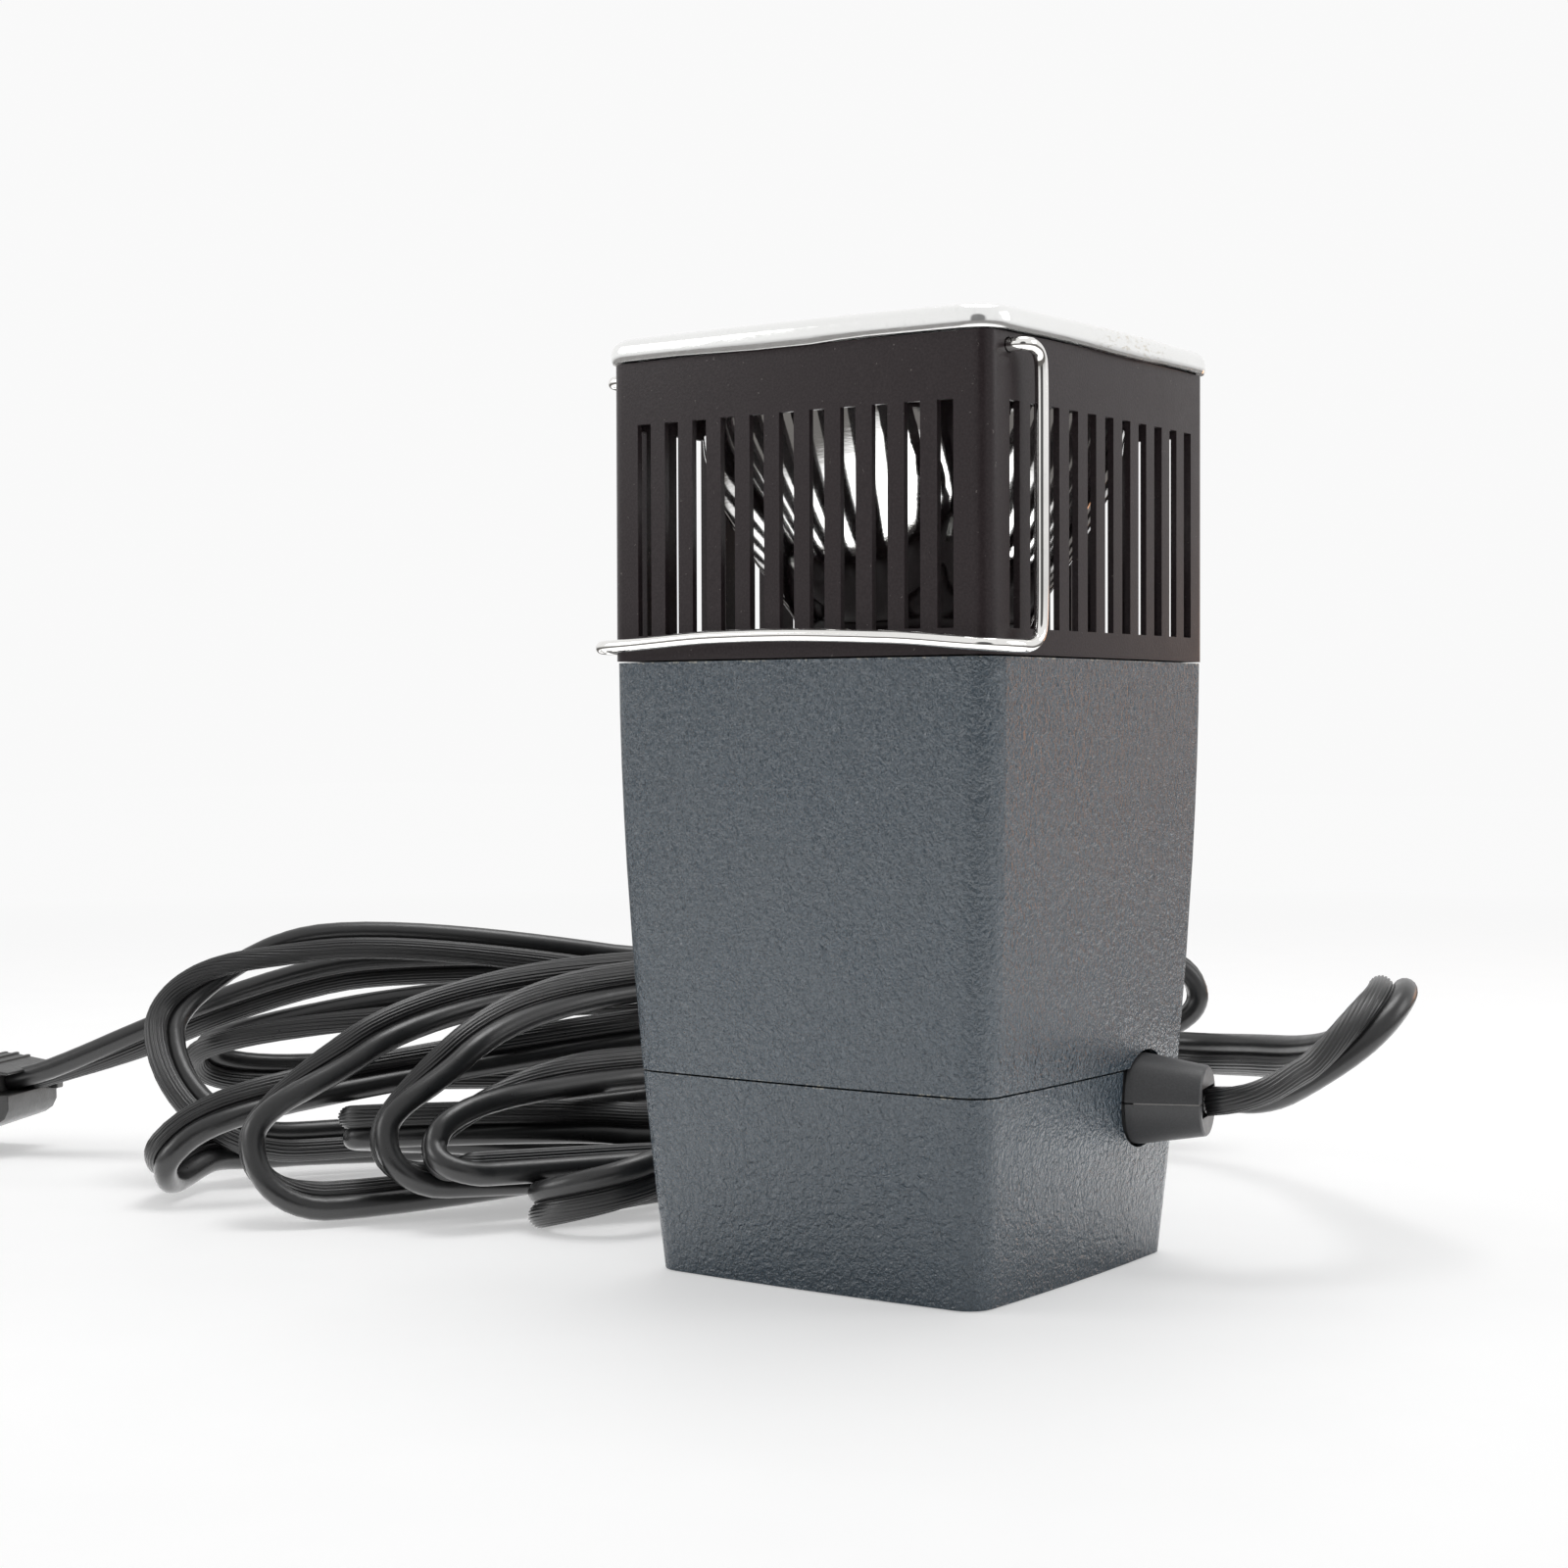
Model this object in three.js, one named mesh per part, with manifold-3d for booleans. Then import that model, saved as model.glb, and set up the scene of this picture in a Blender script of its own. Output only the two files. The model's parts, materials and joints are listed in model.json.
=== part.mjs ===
// A small square reflector lamp that stands upright on its base, with its twin mains lead in a loose hank
// beside it. Millimetres, +Z up. The floor is Z = 0 and the lamp's own axis is the Z axis. The front is the
// -Y face, where the bail hangs, and the lead leaves through the +X face.

import * as THREE from "three";
import { mergeVertices } from "three/addons/utils/BufferGeometryUtils.js";
import Module from "manifold-3d";

const wasm = await Module();
wasm.setup();

// Driving dimensions
const GAP = 0.3; // left between neighbouring solids
const FOOT_HALF = 32.8; // half width of the housing at the floor, measured at its corners
const TOP_HALF = 38.5; // half width of the housing at its top
const CROWN = 1.1; // how far each pillowed face stands out at its middle
const CORNER = 5.5; // plan radius of the housing's upright edges
const SEAM_Z = 35; // seam between the base cup and the body shell
const BODY_TOP = 106;
const TAPER_Z = 106.3; // height at which the taper ends
const TAPER_POWER = 1.7;
const WALL = 1.6;
const FLOOR_THICK = 2;

const CAGE_HALF = 38.1;
const CAGE_CORNER = 3;
const CAGE_BOTTOM = BODY_TOP + GAP;
const RIM_BOTTOM = 158;
const CAGE_TOP = RIM_BOTTOM - GAP;
const CAGE_WALL = 1.1;
const SLOT_COUNT = 11;
const SLOT_PITCH = 6.08;
const SLOT_WIDTH = 2.96;
const SLOT_BOTTOM = 110.55;
const SLOT_TOP = 146.95;
const RIM_HALF = 39.7;
const RIM_TOP = 161.4;
const RIM_CORNER = 6;
const PANE_HALF = 37.9;
const PANE_BOTTOM = 159;
const PANE_TOP = 160.4;

const SCREW_OFFSET = 27; // base screws, from the axis in X and in Y
const DECK_SCREW_OFFSET = 30;
const DECK_BOTTOM = 104;
const DECK_TOP = 105.7;
const CAGE_FLANGE_TOP = 107.4;

const PIVOT_Y = -32.1; // bail pivots, through the cage's two side walls
const PIVOT_Z = 155.6;
const WIRE_RADIUS = 0.95;
const LEG_X = 41.5;
const LEG_Y = -27;
const BAR_Y = -41;
const BAR_Z = [108.7, 109.5, 107.6]; // left end, middle and right end of the front bar

const GLAND_X = 36; // strain relief, through the +X wall just below the seam
const GLAND_Y = 18.7;
const GLAND_Z = 29.3;
const GLAND_LENGTH = 11.4; // its cone, outside the wall
const GLAND_TURN = 14; // degrees that the cone leans from +X towards +Y
const GLAND_HOLE_RADIUS = 8.7;
const GLAND_FLANGE_RADIUS = 9.4;

const LEAD_RADIUS = 3.4; // round stand-in for the 8.8 x 4.4 flat twin lead

const SWITCH_Z = 80; // rocker switch, on the back face
const ROCKER_TILT = 10; // degrees, at rest

// Materials
const paint = { color: 0x454f59, roughness: 0.5, metalness: 0.2 };
const blackSatin = { color: 0x3c383a, roughness: 0.5, metalness: 0.2 };
const chrome = { color: 0xe8e8e8, roughness: 0.08, metalness: 1 };
const mirror = { color: 0xf2f2f0, roughness: 0.05, metalness: 1 };
const steel = { color: 0xa8a8a4, roughness: 0.35, metalness: 1 };
const brass = { color: 0xb8954a, roughness: 0.35, metalness: 1 };
const ceramic = { color: 0xe6e1d4, roughness: 0.6, metalness: 0 };
const clearGlass = { color: 0xf4f8f8, roughness: 0.03, metalness: 0, transparent: true, opacity: 0.3 };
const rubber = { color: 0x3e3e40, roughness: 0.8, metalness: 0 };
const leadBlack = { color: 0x2b2b2d, roughness: 0.45, metalness: 0 };
const board = { color: 0x7a5636, roughness: 0.7, metalness: 0 };
const whiteLead = { color: 0xd8d4c8, roughness: 0.6, metalness: 0 };

// Plan outlines

// Points of a square with pillowed sides and round corners, anticlockwise from the front left. The sides are
// arcs through the square's corners that rise by crown, and each corner is an arc tangent to two of them.
function crownedSquare(half, crown, corner, sideSteps, cornerSteps) {
  const sideRadius = (half * half + crown * crown) / (2 * crown);
  const back = sideRadius - half - crown; // from the axis to a side arc's centre
  const reach = sideRadius - corner;
  const c = (Math.sqrt(2 * reach * reach - back * back) - back) / 2; // the corner's centre is (c, -c)
  const turn = Math.atan2(c, back + c);
  const points = [];
  for (let side = 0; side < 4; side += 1) {
    const quarter = (side * Math.PI) / 2;
    const add = (x, y) => {
      const point = new THREE.Vector2(x, y).rotateAround(new THREE.Vector2(), quarter);
      points.push(point);
    };
    for (let i = 0; i < sideSteps; i += 1) {
      const angle = -Math.PI / 2 - turn + (2 * turn * i) / sideSteps;
      add(sideRadius * Math.cos(angle), back + sideRadius * Math.sin(angle));
    }
    for (let i = 0; i < cornerSteps; i += 1) {
      const angle = -Math.PI / 2 + turn + ((Math.PI / 2 - 2 * turn) * i) / cornerSteps;
      add(c + corner * Math.cos(angle), -c + corner * Math.sin(angle));
    }
  }
  return points;
}

// A plan outline as a function of half width and height: the outline drawn once, then scaled.
function scaledOutline(half, corner) {
  const points = crownedSquare(half, CROWN, corner, 5, 5);
  return { count: points.length, at: (size, z, i) => points[i].clone().multiplyScalar(size / half) };
}

const housingOutline = scaledOutline(TOP_HALF, CORNER);
const cageOutline = scaledOutline(CAGE_HALF, CAGE_CORNER);
const rimOutline = scaledOutline(RIM_HALF, RIM_CORNER);

// The bowl's outline changes from a circle at its neck to a rounded square at its mouth.
const BOWL_ROUND_Z = 118;
const BOWL_MOUTH_Z = 157;
const bowlOutline = {
  count: 40,
  at: (size, z, i) => {
    const angle = -Math.PI / 2 + (2 * Math.PI * (i - 0.5)) / 40;
    const rise = THREE.MathUtils.clamp((z - BOWL_ROUND_Z) / (BOWL_MOUTH_Z - BOWL_ROUND_Z), 0, 1);
    const power = 2 + 1.5 * rise ** 1.5;
    const c = Math.cos(angle);
    const s = Math.sin(angle);
    const radius = size / (Math.abs(c) ** power + Math.abs(s) ** power) ** (1 / power);
    return new THREE.Vector2(radius * c, radius * s);
  },
};

function housingHalf(z) {
  const left = Math.max(0, 1 - z / TAPER_Z);
  return TOP_HALF - (TOP_HALF - FOOT_HALF) * left ** TAPER_POWER;
}

// Solids

function solid(geometry) {
  const bare = geometry.clone();
  bare.deleteAttribute("normal");
  bare.deleteAttribute("uv");
  const merged = mergeVertices(bare, 1e-4);
  const source = merged.index.array;
  const triangles = [];
  for (let i = 0; i < source.length; i += 3) {
    const [a, b, c] = source.slice(i, i + 3);
    if (a !== b && b !== c && c !== a) triangles.push(a, b, c);
  }
  const vertProperties = Float32Array.from(merged.attributes.position.array);
  const triVerts = Uint32Array.from(triangles);
  return new wasm.Manifold(new wasm.Mesh({ numProp: 3, vertProperties, triVerts }));
}

function surface(body) {
  const mesh = body.getMesh();
  const geometry = new THREE.BufferGeometry();
  geometry.setAttribute("position", new THREE.BufferAttribute(mesh.vertProperties, 3));
  geometry.setIndex(new THREE.BufferAttribute(mesh.triVerts, 1));
  const plain = geometry.toNonIndexed();
  plain.computeVertexNormals();
  return plain;
}

// A closed profile of [half width, height] pairs, outer side going up, swept round a plan outline.
function ring(profile, outline) {
  const points = profile.map(([size, z]) => new THREE.Vector2(size, z));
  const geometry = new THREE.LatheGeometry(points, outline.count);
  const position = geometry.attributes.position;
  for (let i = 0; i < position.count; i += 1) {
    const column = Math.floor(i / points.length) % outline.count;
    const { x: size, y: z } = points[i % points.length];
    const place = outline.at(size, z, column);
    position.setXYZ(i, place.x, place.y, z);
  }
  return solid(geometry);
}

// A turned piece on the Z axis, from a profile that starts and ends on the axis or closes on itself.
function turned(profile, segments = 24) {
  const points = profile.map(([radius, z]) => new THREE.Vector2(radius, z));
  return solid(new THREE.LatheGeometry(points, segments).rotateX(Math.PI / 2));
}

function box(low, high) {
  const size = high.map((value, i) => value - low[i]);
  const geometry = new THREE.BoxGeometry(...size);
  return solid(geometry.translate(low[0] + size[0] / 2, low[1] + size[1] / 2, low[2] + size[2] / 2));
}

function post(radius, bottom, top, x, y, segments = 16) {
  const profile = [[0, bottom], [radius, bottom], [radius, top], [0, top]];
  return turned(profile, segments).translate([x, y, 0]);
}

// A path whose joined curves each get the same number of steps, so that tight bends stay well drawn.
class SteppedPath extends THREE.CurvePath {
  getPoint(t) {
    const place = Math.min(t * this.curves.length, this.curves.length - 1e-9);
    const i = Math.max(0, Math.floor(place));
    return this.curves[i].getPoint(place - i);
  }

  getUtoTmapping(u) {
    return u;
  }
}

function sweep(path, section, stepsPerCurve) {
  const steps = path.curves.length * stepsPerCurve;
  return solid(new THREE.ExtrudeGeometry(section, { steps, extrudePath: path, bevelEnabled: false }));
}

function roundSection(radius, sides) {
  const shape = new THREE.Shape();
  for (let i = 0; i < sides; i += 1) {
    const angle = (2 * Math.PI * (i + 0.5)) / sides;
    const x = radius * Math.cos(angle);
    const y = radius * Math.sin(angle);
    if (i === 0) shape.moveTo(x, y);
    else shape.lineTo(x, y);
  }
  shape.closePath();
  return shape;
}

// Straight runs between points, each inner point rounded off over the given distance.
function bentPath(points, rounding) {
  const path = new SteppedPath();
  let from = points[0];
  for (let i = 1; i < points.length - 1; i += 1) {
    const toward = points[i - 1].clone().sub(points[i]).setLength(rounding[i - 1]);
    const away = points[i + 1].clone().sub(points[i]).setLength(rounding[i - 1]);
    const start = points[i].clone().add(toward);
    const end = points[i].clone().add(away);
    path.add(new THREE.LineCurve3(from, start));
    path.add(new THREE.QuadraticBezierCurve3(start, points[i], end));
    from = end;
  }
  path.add(new THREE.LineCurve3(from, points[points.length - 1]));
  return path;
}

// A smooth path through knots, each a place and the handle that leaves it.
function knotPath(knots) {
  const path = new SteppedPath();
  for (let i = 0; i + 1 < knots.length; i += 1) {
    const [start, leave] = knots[i].map((value) => new THREE.Vector3(...value));
    const [end, arrive] = knots[i + 1].map((value) => new THREE.Vector3(...value));
    path.add(new THREE.CubicBezierCurve3(start, start.clone().add(leave), end.clone().sub(arrive), end));
  }
  return path;
}

function extruded(points, depth) {
  const shape = new THREE.Shape(points.map(([x, y]) => new THREE.Vector2(x, y)));
  return new THREE.ExtrudeGeometry(shape, { depth, bevelEnabled: false });
}

const model = new THREE.Group();

function part(name, body, material, parent = model) {
  const mesh = new THREE.Mesh(surface(body), new THREE.MeshStandardMaterial(material));
  mesh.name = name;
  parent.add(mesh);
  return mesh;
}

const corners = [[-1, -1], [1, -1], [1, 1], [-1, 1]];

// Housing

// Heights at which the tapered walls have a ring of vertices.
function levels(bottom, top, steps) {
  return Array.from({ length: steps + 1 }, (unused, i) => bottom + ((top - bottom) * i) / steps);
}

function taperedProfile(bottom, top, inset, steps) {
  return levels(bottom, top, steps).map((z) => [housingHalf(z) - inset, z]);
}

// Square posts in the four corners that take screws, run out to the middle of the wall's thickness.
function cornerPosts(inner, bottom, top) {
  const profile = taperedProfile(bottom, top, WALL / 2, 3);
  const core = ring([[0, bottom], ...profile, [0, top]], housingOutline);
  let posts = null;
  for (const [sx, sy] of corners) {
    const low = [Math.min(sx * inner, sx * 42), Math.min(sy * inner, sy * 42), bottom - 1];
    const high = [Math.max(sx * inner, sx * 42), Math.max(sy * inner, sy * 42), top + 1];
    const block = box(low, high);
    posts = posts ? posts.add(block) : block;
  }
  return posts.intersect(core);
}

function atCorners(offset, makeTool, body) {
  let result = body;
  for (const [sx, sy] of corners) result = result.subtract(makeTool(sx * offset, sy * offset));
  return result;
}

function makeBaseCup() {
  const top = SEAM_Z - GAP / 2;
  const outer = taperedProfile(0, top, 0, 5);
  const inner = taperedProfile(FLOOR_THICK, top, WALL, 4).reverse();
  let cup = ring([[0, 0], ...outer, ...inner, [0, FLOOR_THICK]], housingOutline);
  cup = cup.add(cornerPosts(SCREW_OFFSET - 4.5, FLOOR_THICK / 2, top));
  for (const x of [-16, 16]) {
    for (const y of [-9, 9]) cup = cup.add(post(2.2, FLOOR_THICK / 2, 6, x, y, 10));
  }
  cup = atCorners(SCREW_OFFSET, (x, y) => post(3.6, -1, 3.2, x, y), cup);
  cup = atCorners(SCREW_OFFSET, (x, y) => post(1.9, -1, SEAM_Z + 1, x, y, 12), cup);
  const notch = box([33, -GLAND_HOLE_RADIUS, 0], [45, GLAND_HOLE_RADIUS, 8]).translate([0, GLAND_Y, GLAND_Z]);
  return cup.subtract(makeGlandHole().add(notch)).subtract(makeGlandRoom());
}

function alongX(body) {
  return body.rotate([0, 90, 0]);
}

function makeGlandHole() {
  return alongX(post(GLAND_HOLE_RADIUS, 33, 45, 0, 0, 28)).translate([0, GLAND_Y, GLAND_Z]);
}

// Room inside the wall for the strain relief's flange and for the lead behind it.
function makeGlandRoom() {
  const flangeRoom = alongX(post(GLAND_FLANGE_RADIUS + 0.4, 29.6, 33.6, 0, 0, 28));
  const leadRoom = box([12, -4.8, -3.6], [31, 4.8, 3.6]);
  return flangeRoom.add(leadRoom).translate([0, GLAND_Y, GLAND_Z]);
}

function makeBodyShell() {
  const bottom = SEAM_Z + GAP / 2;
  const outer = taperedProfile(bottom, BODY_TOP, 0, 8);
  const inner = taperedProfile(bottom, BODY_TOP, WALL, 8).reverse();
  let shell = ring([...outer, ...inner, outer[0]], housingOutline);
  shell = shell.add(cornerPosts(SCREW_OFFSET - 4.5, bottom + 0.5, bottom + 14));
  shell = shell.add(cornerPosts(DECK_SCREW_OFFSET - 5, 88, DECK_BOTTOM - GAP));
  shell = atCorners(SCREW_OFFSET, (x, y) => post(1.8, bottom - 1, bottom + 9, x, y, 12), shell);
  shell = atCorners(DECK_SCREW_OFFSET, (x, y) => post(1.5, 92, DECK_BOTTOM + 1, x, y, 12), shell);
  return shell.subtract(makeGlandHole()).subtract(makeGlandRoom());
}

// Switch on the back face. Its own frame has Y outward from the wall, and tilts with the tapered wall.
const switchSlope = (housingHalf(SWITCH_Z + 1) - housingHalf(SWITCH_Z - 1)) / 2;
const switchGroup = new THREE.Group();
switchGroup.position.set(0, housingHalf(SWITCH_Z) + CROWN, SWITCH_Z);
switchGroup.rotation.x = -Math.atan(switchSlope);
const switchCut = box([-6.5, -20, -9.7], [6.5, 5, 9.7])
  .rotate([THREE.MathUtils.radToDeg(switchGroup.rotation.x), 0, 0])
  .translate(switchGroup.position.toArray());

part("base_cup", makeBaseCup(), paint);
part("body_shell", makeBodyShell().subtract(switchCut), paint);

function makeSwitchFrame() {
  const flange = box([-7.7, 0.4, -11], [7.7, 1.7, 11]);
  const barrel = box([-6.2, -13, -9.4], [6.2, 0.4 + GAP, 9.4]);
  const well = box([-4.8, -7, -8], [4.8, 5, 8]);
  return flange.add(barrel).subtract(well);
}

const ROCKER_PIVOT_Y = -1.2; // the rocker turns about a line this far inside the wall's outer face
const rockerFace = [[2.6, 0], [4.2, 7], [-1, 7], [-3, 3], [-3, -3], [-1, -7], [4.2, -7]];

function makeRocker() {
  const tilt = THREE.MathUtils.degToRad(ROCKER_TILT);
  const geometry = extruded(rockerFace, 8.8).translate(0, 0, -4.4);
  geometry.rotateY(Math.PI / 2).rotateX(Math.PI / 2); // profile x to outward Y, profile y to Z
  return solid(geometry.rotateX(tilt).translate(0, ROCKER_PIVOT_Y, 0));
}

part("switch_frame", makeSwitchFrame(), rubber, switchGroup);
part("switch_rocker", makeRocker(), rubber, switchGroup);
model.add(switchGroup);

// Deck, cage, rim and pane

function makeDeck() {
  const half = housingHalf(DECK_BOTTOM) - WALL - GAP;
  const profile = [[0, DECK_BOTTOM], [half, DECK_BOTTOM], [half, DECK_TOP], [0, DECK_TOP]];
  const plate = ring(profile, housingOutline).subtract(post(9.5, 100, 110, 0, 0, 28));
  return atCorners(DECK_SCREW_OFFSET, (x, y) => post(1.6, 100, 110, x, y, 12), plate);
}

function makeCage() {
  const inside = CAGE_HALF - CAGE_WALL;
  const profile = [
    [24, CAGE_BOTTOM], [CAGE_HALF, CAGE_BOTTOM], [CAGE_HALF, CAGE_TOP], [inside, CAGE_TOP],
    [inside, CAGE_FLANGE_TOP], [24, CAGE_FLANGE_TOP], [24, CAGE_BOTTOM],
  ];
  let cage = ring(profile, cageOutline);
  for (let i = 0; i < SLOT_COUNT; i += 1) {
    const middle = (i - (SLOT_COUNT - 1) / 2) * SLOT_PITCH;
    const low = middle - SLOT_WIDTH / 2;
    const high = middle + SLOT_WIDTH / 2;
    cage = cage.subtract(box([low, -45, SLOT_BOTTOM], [high, 45, SLOT_TOP]));
    cage = cage.subtract(box([-45, low, SLOT_BOTTOM], [45, high, SLOT_TOP]));
  }
  cage = atCorners(DECK_SCREW_OFFSET, (x, y) => post(1.6, 100, 110, x, y, 12), cage);
  const pivots = alongX(post(WIRE_RADIUS + 0.4, -45, 45, 0, 0, 12));
  return cage.subtract(pivots.translate([0, PIVOT_Y, PIVOT_Z]));
}

function makeRim() {
  const channel = CAGE_HALF + 0.4;
  const lip = PANE_TOP + GAP;
  const profile = [
    [channel, RIM_BOTTOM], [RIM_HALF - 0.4, RIM_BOTTOM], [RIM_HALF, 158.7], [RIM_HALF - 0.1, 159.7],
    [RIM_HALF - 0.6, 160.6], [RIM_HALF - 1.3, 161.1], [RIM_HALF - 2.3, RIM_TOP], [34.9, RIM_TOP],
    [34.9, lip], [channel, lip], [channel, RIM_BOTTOM],
  ];
  return ring(profile, rimOutline);
}

function makeGasket() {
  const low = CAGE_TOP + GAP;
  const high = PANE_BOTTOM - GAP;
  const profile = [[36.4, low], [PANE_HALF, low], [PANE_HALF, high], [36.4, high], [36.4, low]];
  return ring(profile, rimOutline);
}

function makePane() {
  const profile = [[0, PANE_BOTTOM], [PANE_HALF, PANE_BOTTOM], [PANE_HALF, PANE_TOP], [0, PANE_TOP]];
  return ring(profile, rimOutline);
}

part("deck_plate", makeDeck(), blackSatin);
part("vent_cage", makeCage(), blackSatin);
part("bezel", makeRim(), chrome);
part("glass_gasket", makeGasket(), rubber);
part("front_glass", makePane(), clearGlass);

// Bowl and lamp

const bowlSide = [
  [10, 106.7], [10.6, 108], [15, 108.9], [20.8, 112.6], [21.3, 114], [23.6, 116.2], [26.2, 120.4],
  [28, 122.8], [31.8, 131.8], [34, 140], [35.4, 148.4], [36.2, BOWL_MOUTH_Z],
];
const BOWL_SHEET = 0.7;

function makeBowl() {
  const inner = bowlSide.map(([size, z]) => [size - BOWL_SHEET, z + BOWL_SHEET / 2]).reverse();
  inner[0][1] = BOWL_MOUTH_Z;
  inner[inner.length - 1][1] = bowlSide[0][1];
  let bowl = ring([...bowlSide, ...inner, bowlSide[0]], bowlOutline);
  for (const side of [-1, 1]) {
    const low = Math.min(side * 30, side * 40);
    const notch = box([low, PIVOT_Y - 3.2, PIVOT_Z - 3.2], [low + 10, PIVOT_Y + 3.2, PIVOT_Z + 4]);
    bowl = bowl.subtract(notch);
  }
  return bowl;
}

function makeHolder() {
  const profile = [
    [0, 98], [9, 98], [9, 112], [8, 114], [8, 116], [5.2, 116], [5.2, 114], [0, 114],
  ];
  return turned(profile);
}

function makeHolderBracket() {
  const low = 96.5;
  const high = DECK_BOTTOM - GAP;
  const strap = [
    [-20, high], [-20, high - 1.2], [-13.2, high - 1.2], [-13.2, low], [13.2, low], [13.2, high - 1.2],
    [20, high - 1.2], [20, high], [12, high], [12, low + 1.2], [-12, low + 1.2], [-12, high],
  ];
  return solid(extruded(strap, 12).translate(0, 0, -6).rotateX(Math.PI / 2));
}

function makeLampBase() {
  const profile = [[0, 114.4], [4.9, 114.4], [4.9, 117], [7, 117], [7, 124], [0, 124]];
  return turned(profile);
}

function makeEnvelope() {
  const profile = [
    [6.4, 124.3], [6.6, 128], [6.6, 139], [5.9, 142.4], [4, 145], [1.5, 146.3], [0, 146.5], [0, 145.6],
    [3.4, 144.2], [5.1, 141.9], [5.7, 139], [5.7, 128], [5.5, 124.3], [6.4, 124.3],
  ];
  return turned(profile);
}

// Two support wires that carry a coil of wire across the lamp's axis.
function makeFilament() {
  const path = new SteppedPath();
  const half = 2.6;
  const height = 134;
  const turns = 6;
  const coil = 1;
  const left = new THREE.Vector3(-half, 0, height + coil);
  path.add(new THREE.LineCurve3(new THREE.Vector3(-half, 0, 124.3), left));
  const place = (s) => {
    const angle = 2 * Math.PI * turns * s;
    return new THREE.Vector3(-half + 2 * half * s, coil * Math.sin(angle), height + coil * Math.cos(angle));
  };
  const pieces = turns * 4;
  for (let i = 0; i < pieces; i += 1) {
    path.add(new THREE.LineCurve3(place(i / pieces), place((i + 1) / pieces)));
  }
  const right = new THREE.Vector3(half, 0, 124.3);
  path.add(new THREE.LineCurve3(place(1), right));
  return sweep(path, roundSection(0.18, 5), 1);
}

part("reflector", makeBowl(), mirror);
part("lamp_holder", makeHolder(), ceramic);
part("holder_bracket", makeHolderBracket(), steel);
part("lamp_base", makeLampBase(), ceramic);
part("lamp_envelope", makeEnvelope(), clearGlass);
part("lamp_filament", makeFilament(), steel);

// Screws

function makeScrew(tip, head, headTop, shankRadius, headRadius) {
  const profile = [
    [0, tip], [shankRadius * 0.5, tip], [shankRadius, tip + 1.2], [shankRadius, head], [headRadius, head],
    [headRadius, headTop - 0.5], [headRadius - 0.6, headTop], [0, headTop],
  ];
  const slot = box([-headRadius - 1, -0.4, headTop - 0.8], [headRadius + 1, 0.4, headTop + 1]);
  return turned(profile, 12).subtract(slot);
}

corners.forEach(([sx, sy], i) => {
  const upright = makeScrew(-43, -2.9, -1, 1.4, 3.2).rotate([180, 0, 0]);
  part(`base_screw_${i + 1}`, upright.translate([sx * SCREW_OFFSET, sy * SCREW_OFFSET, 0]), steel);
  const head = CAGE_FLANGE_TOP + GAP;
  const deckScrew = makeScrew(94, head, head + 1.8, 1.2, 2.8);
  part(`deck_screw_${i + 1}`, deckScrew.translate([sx * DECK_SCREW_OFFSET, sy * DECK_SCREW_OFFSET, 0]), steel);
});

// Bail

function makeBail() {
  const [leftZ, middleZ, rightZ] = BAR_Z;
  const leg = (side, barZ) => [
    new THREE.Vector3(side * 35, PIVOT_Y, PIVOT_Z),
    new THREE.Vector3(side * LEG_X, PIVOT_Y, PIVOT_Z),
    new THREE.Vector3(side * LEG_X, LEG_Y, PIVOT_Z),
    new THREE.Vector3(side * LEG_X, LEG_Y, barZ),
    new THREE.Vector3(side * LEG_X, BAR_Y, barZ),
  ];
  const middle = new THREE.Vector3(0, BAR_Y, middleZ);
  const places = [...leg(1, rightZ), middle, ...leg(-1, leftZ).reverse()];
  const path = bentPath(places, [1.5, 3.5, 4.5, 7, 12, 7, 4.5, 3.5, 1.5]);
  return sweep(path, roundSection(WIRE_RADIUS, 8), 3);
}

function makeCollar(side) {
  const profile = [[WIRE_RADIUS + GAP, -0.5], [2, -0.5], [2, 0.5], [WIRE_RADIUS + GAP, 0.5]];
  const collar = alongX(turned([...profile, profile[0]], 14));
  return collar.translate([side * 36, PIVOT_Y, PIVOT_Z]);
}

part("bail_wire", makeBail(), chrome);
part("bail_collar_left", makeCollar(-1), steel);
part("bail_collar_right", makeCollar(1), steel);

// Strain relief, split level through its middle, with a slot for the flat lead. Its flange is square to the
// wall and its cone leans towards +Y.

function makeGland() {
  const neck = [
    [0, 30], [GLAND_FLANGE_RADIUS, 30], [GLAND_FLANGE_RADIUS, 32.3], [7.9, 32.3], [7.9, GLAND_X],
    [0, GLAND_X],
  ];
  const cone = [
    [0, -1.6], [8.05, -1.6], [8.05, 0], [6.2, GLAND_LENGTH - 0.3], [5.9, GLAND_LENGTH], [0, GLAND_LENGTH],
  ];
  const passage = box([-20, -4.75, -2.55], [20, 4.75, 2.55]);
  const leaning = (body) => body.rotate([0, 0, GLAND_TURN]).translate([GLAND_X, 0, 0]);
  const outer = leaning(alongX(turned(cone, 28)).subtract(passage));
  const inner = alongX(turned(neck, 28)).subtract(box([20, -4.75, -2.55], [GLAND_X + 3, 5.6, 2.55]));
  return outer.add(inner.subtract(leaning(passage))).translate([0, GLAND_Y, GLAND_Z]);
}

function makeGlandHalf(side) {
  const split = 0.12;
  const low = side > 0 ? GLAND_Z + split : GLAND_Z - 20;
  const high = side > 0 ? GLAND_Z + 20 : GLAND_Z - split;
  return makeGland().intersect(box([0, GLAND_Y - 20, low], [60, GLAND_Y + 20, high]));
}

part("strain_relief_upper", makeGlandHalf(1), rubber);
part("strain_relief_lower", makeGlandHalf(-1), rubber);

// Inner wiring

function makeBoard() {
  return box([-20, -13, 6 + GAP], [20, 13, 8]);
}

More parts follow.
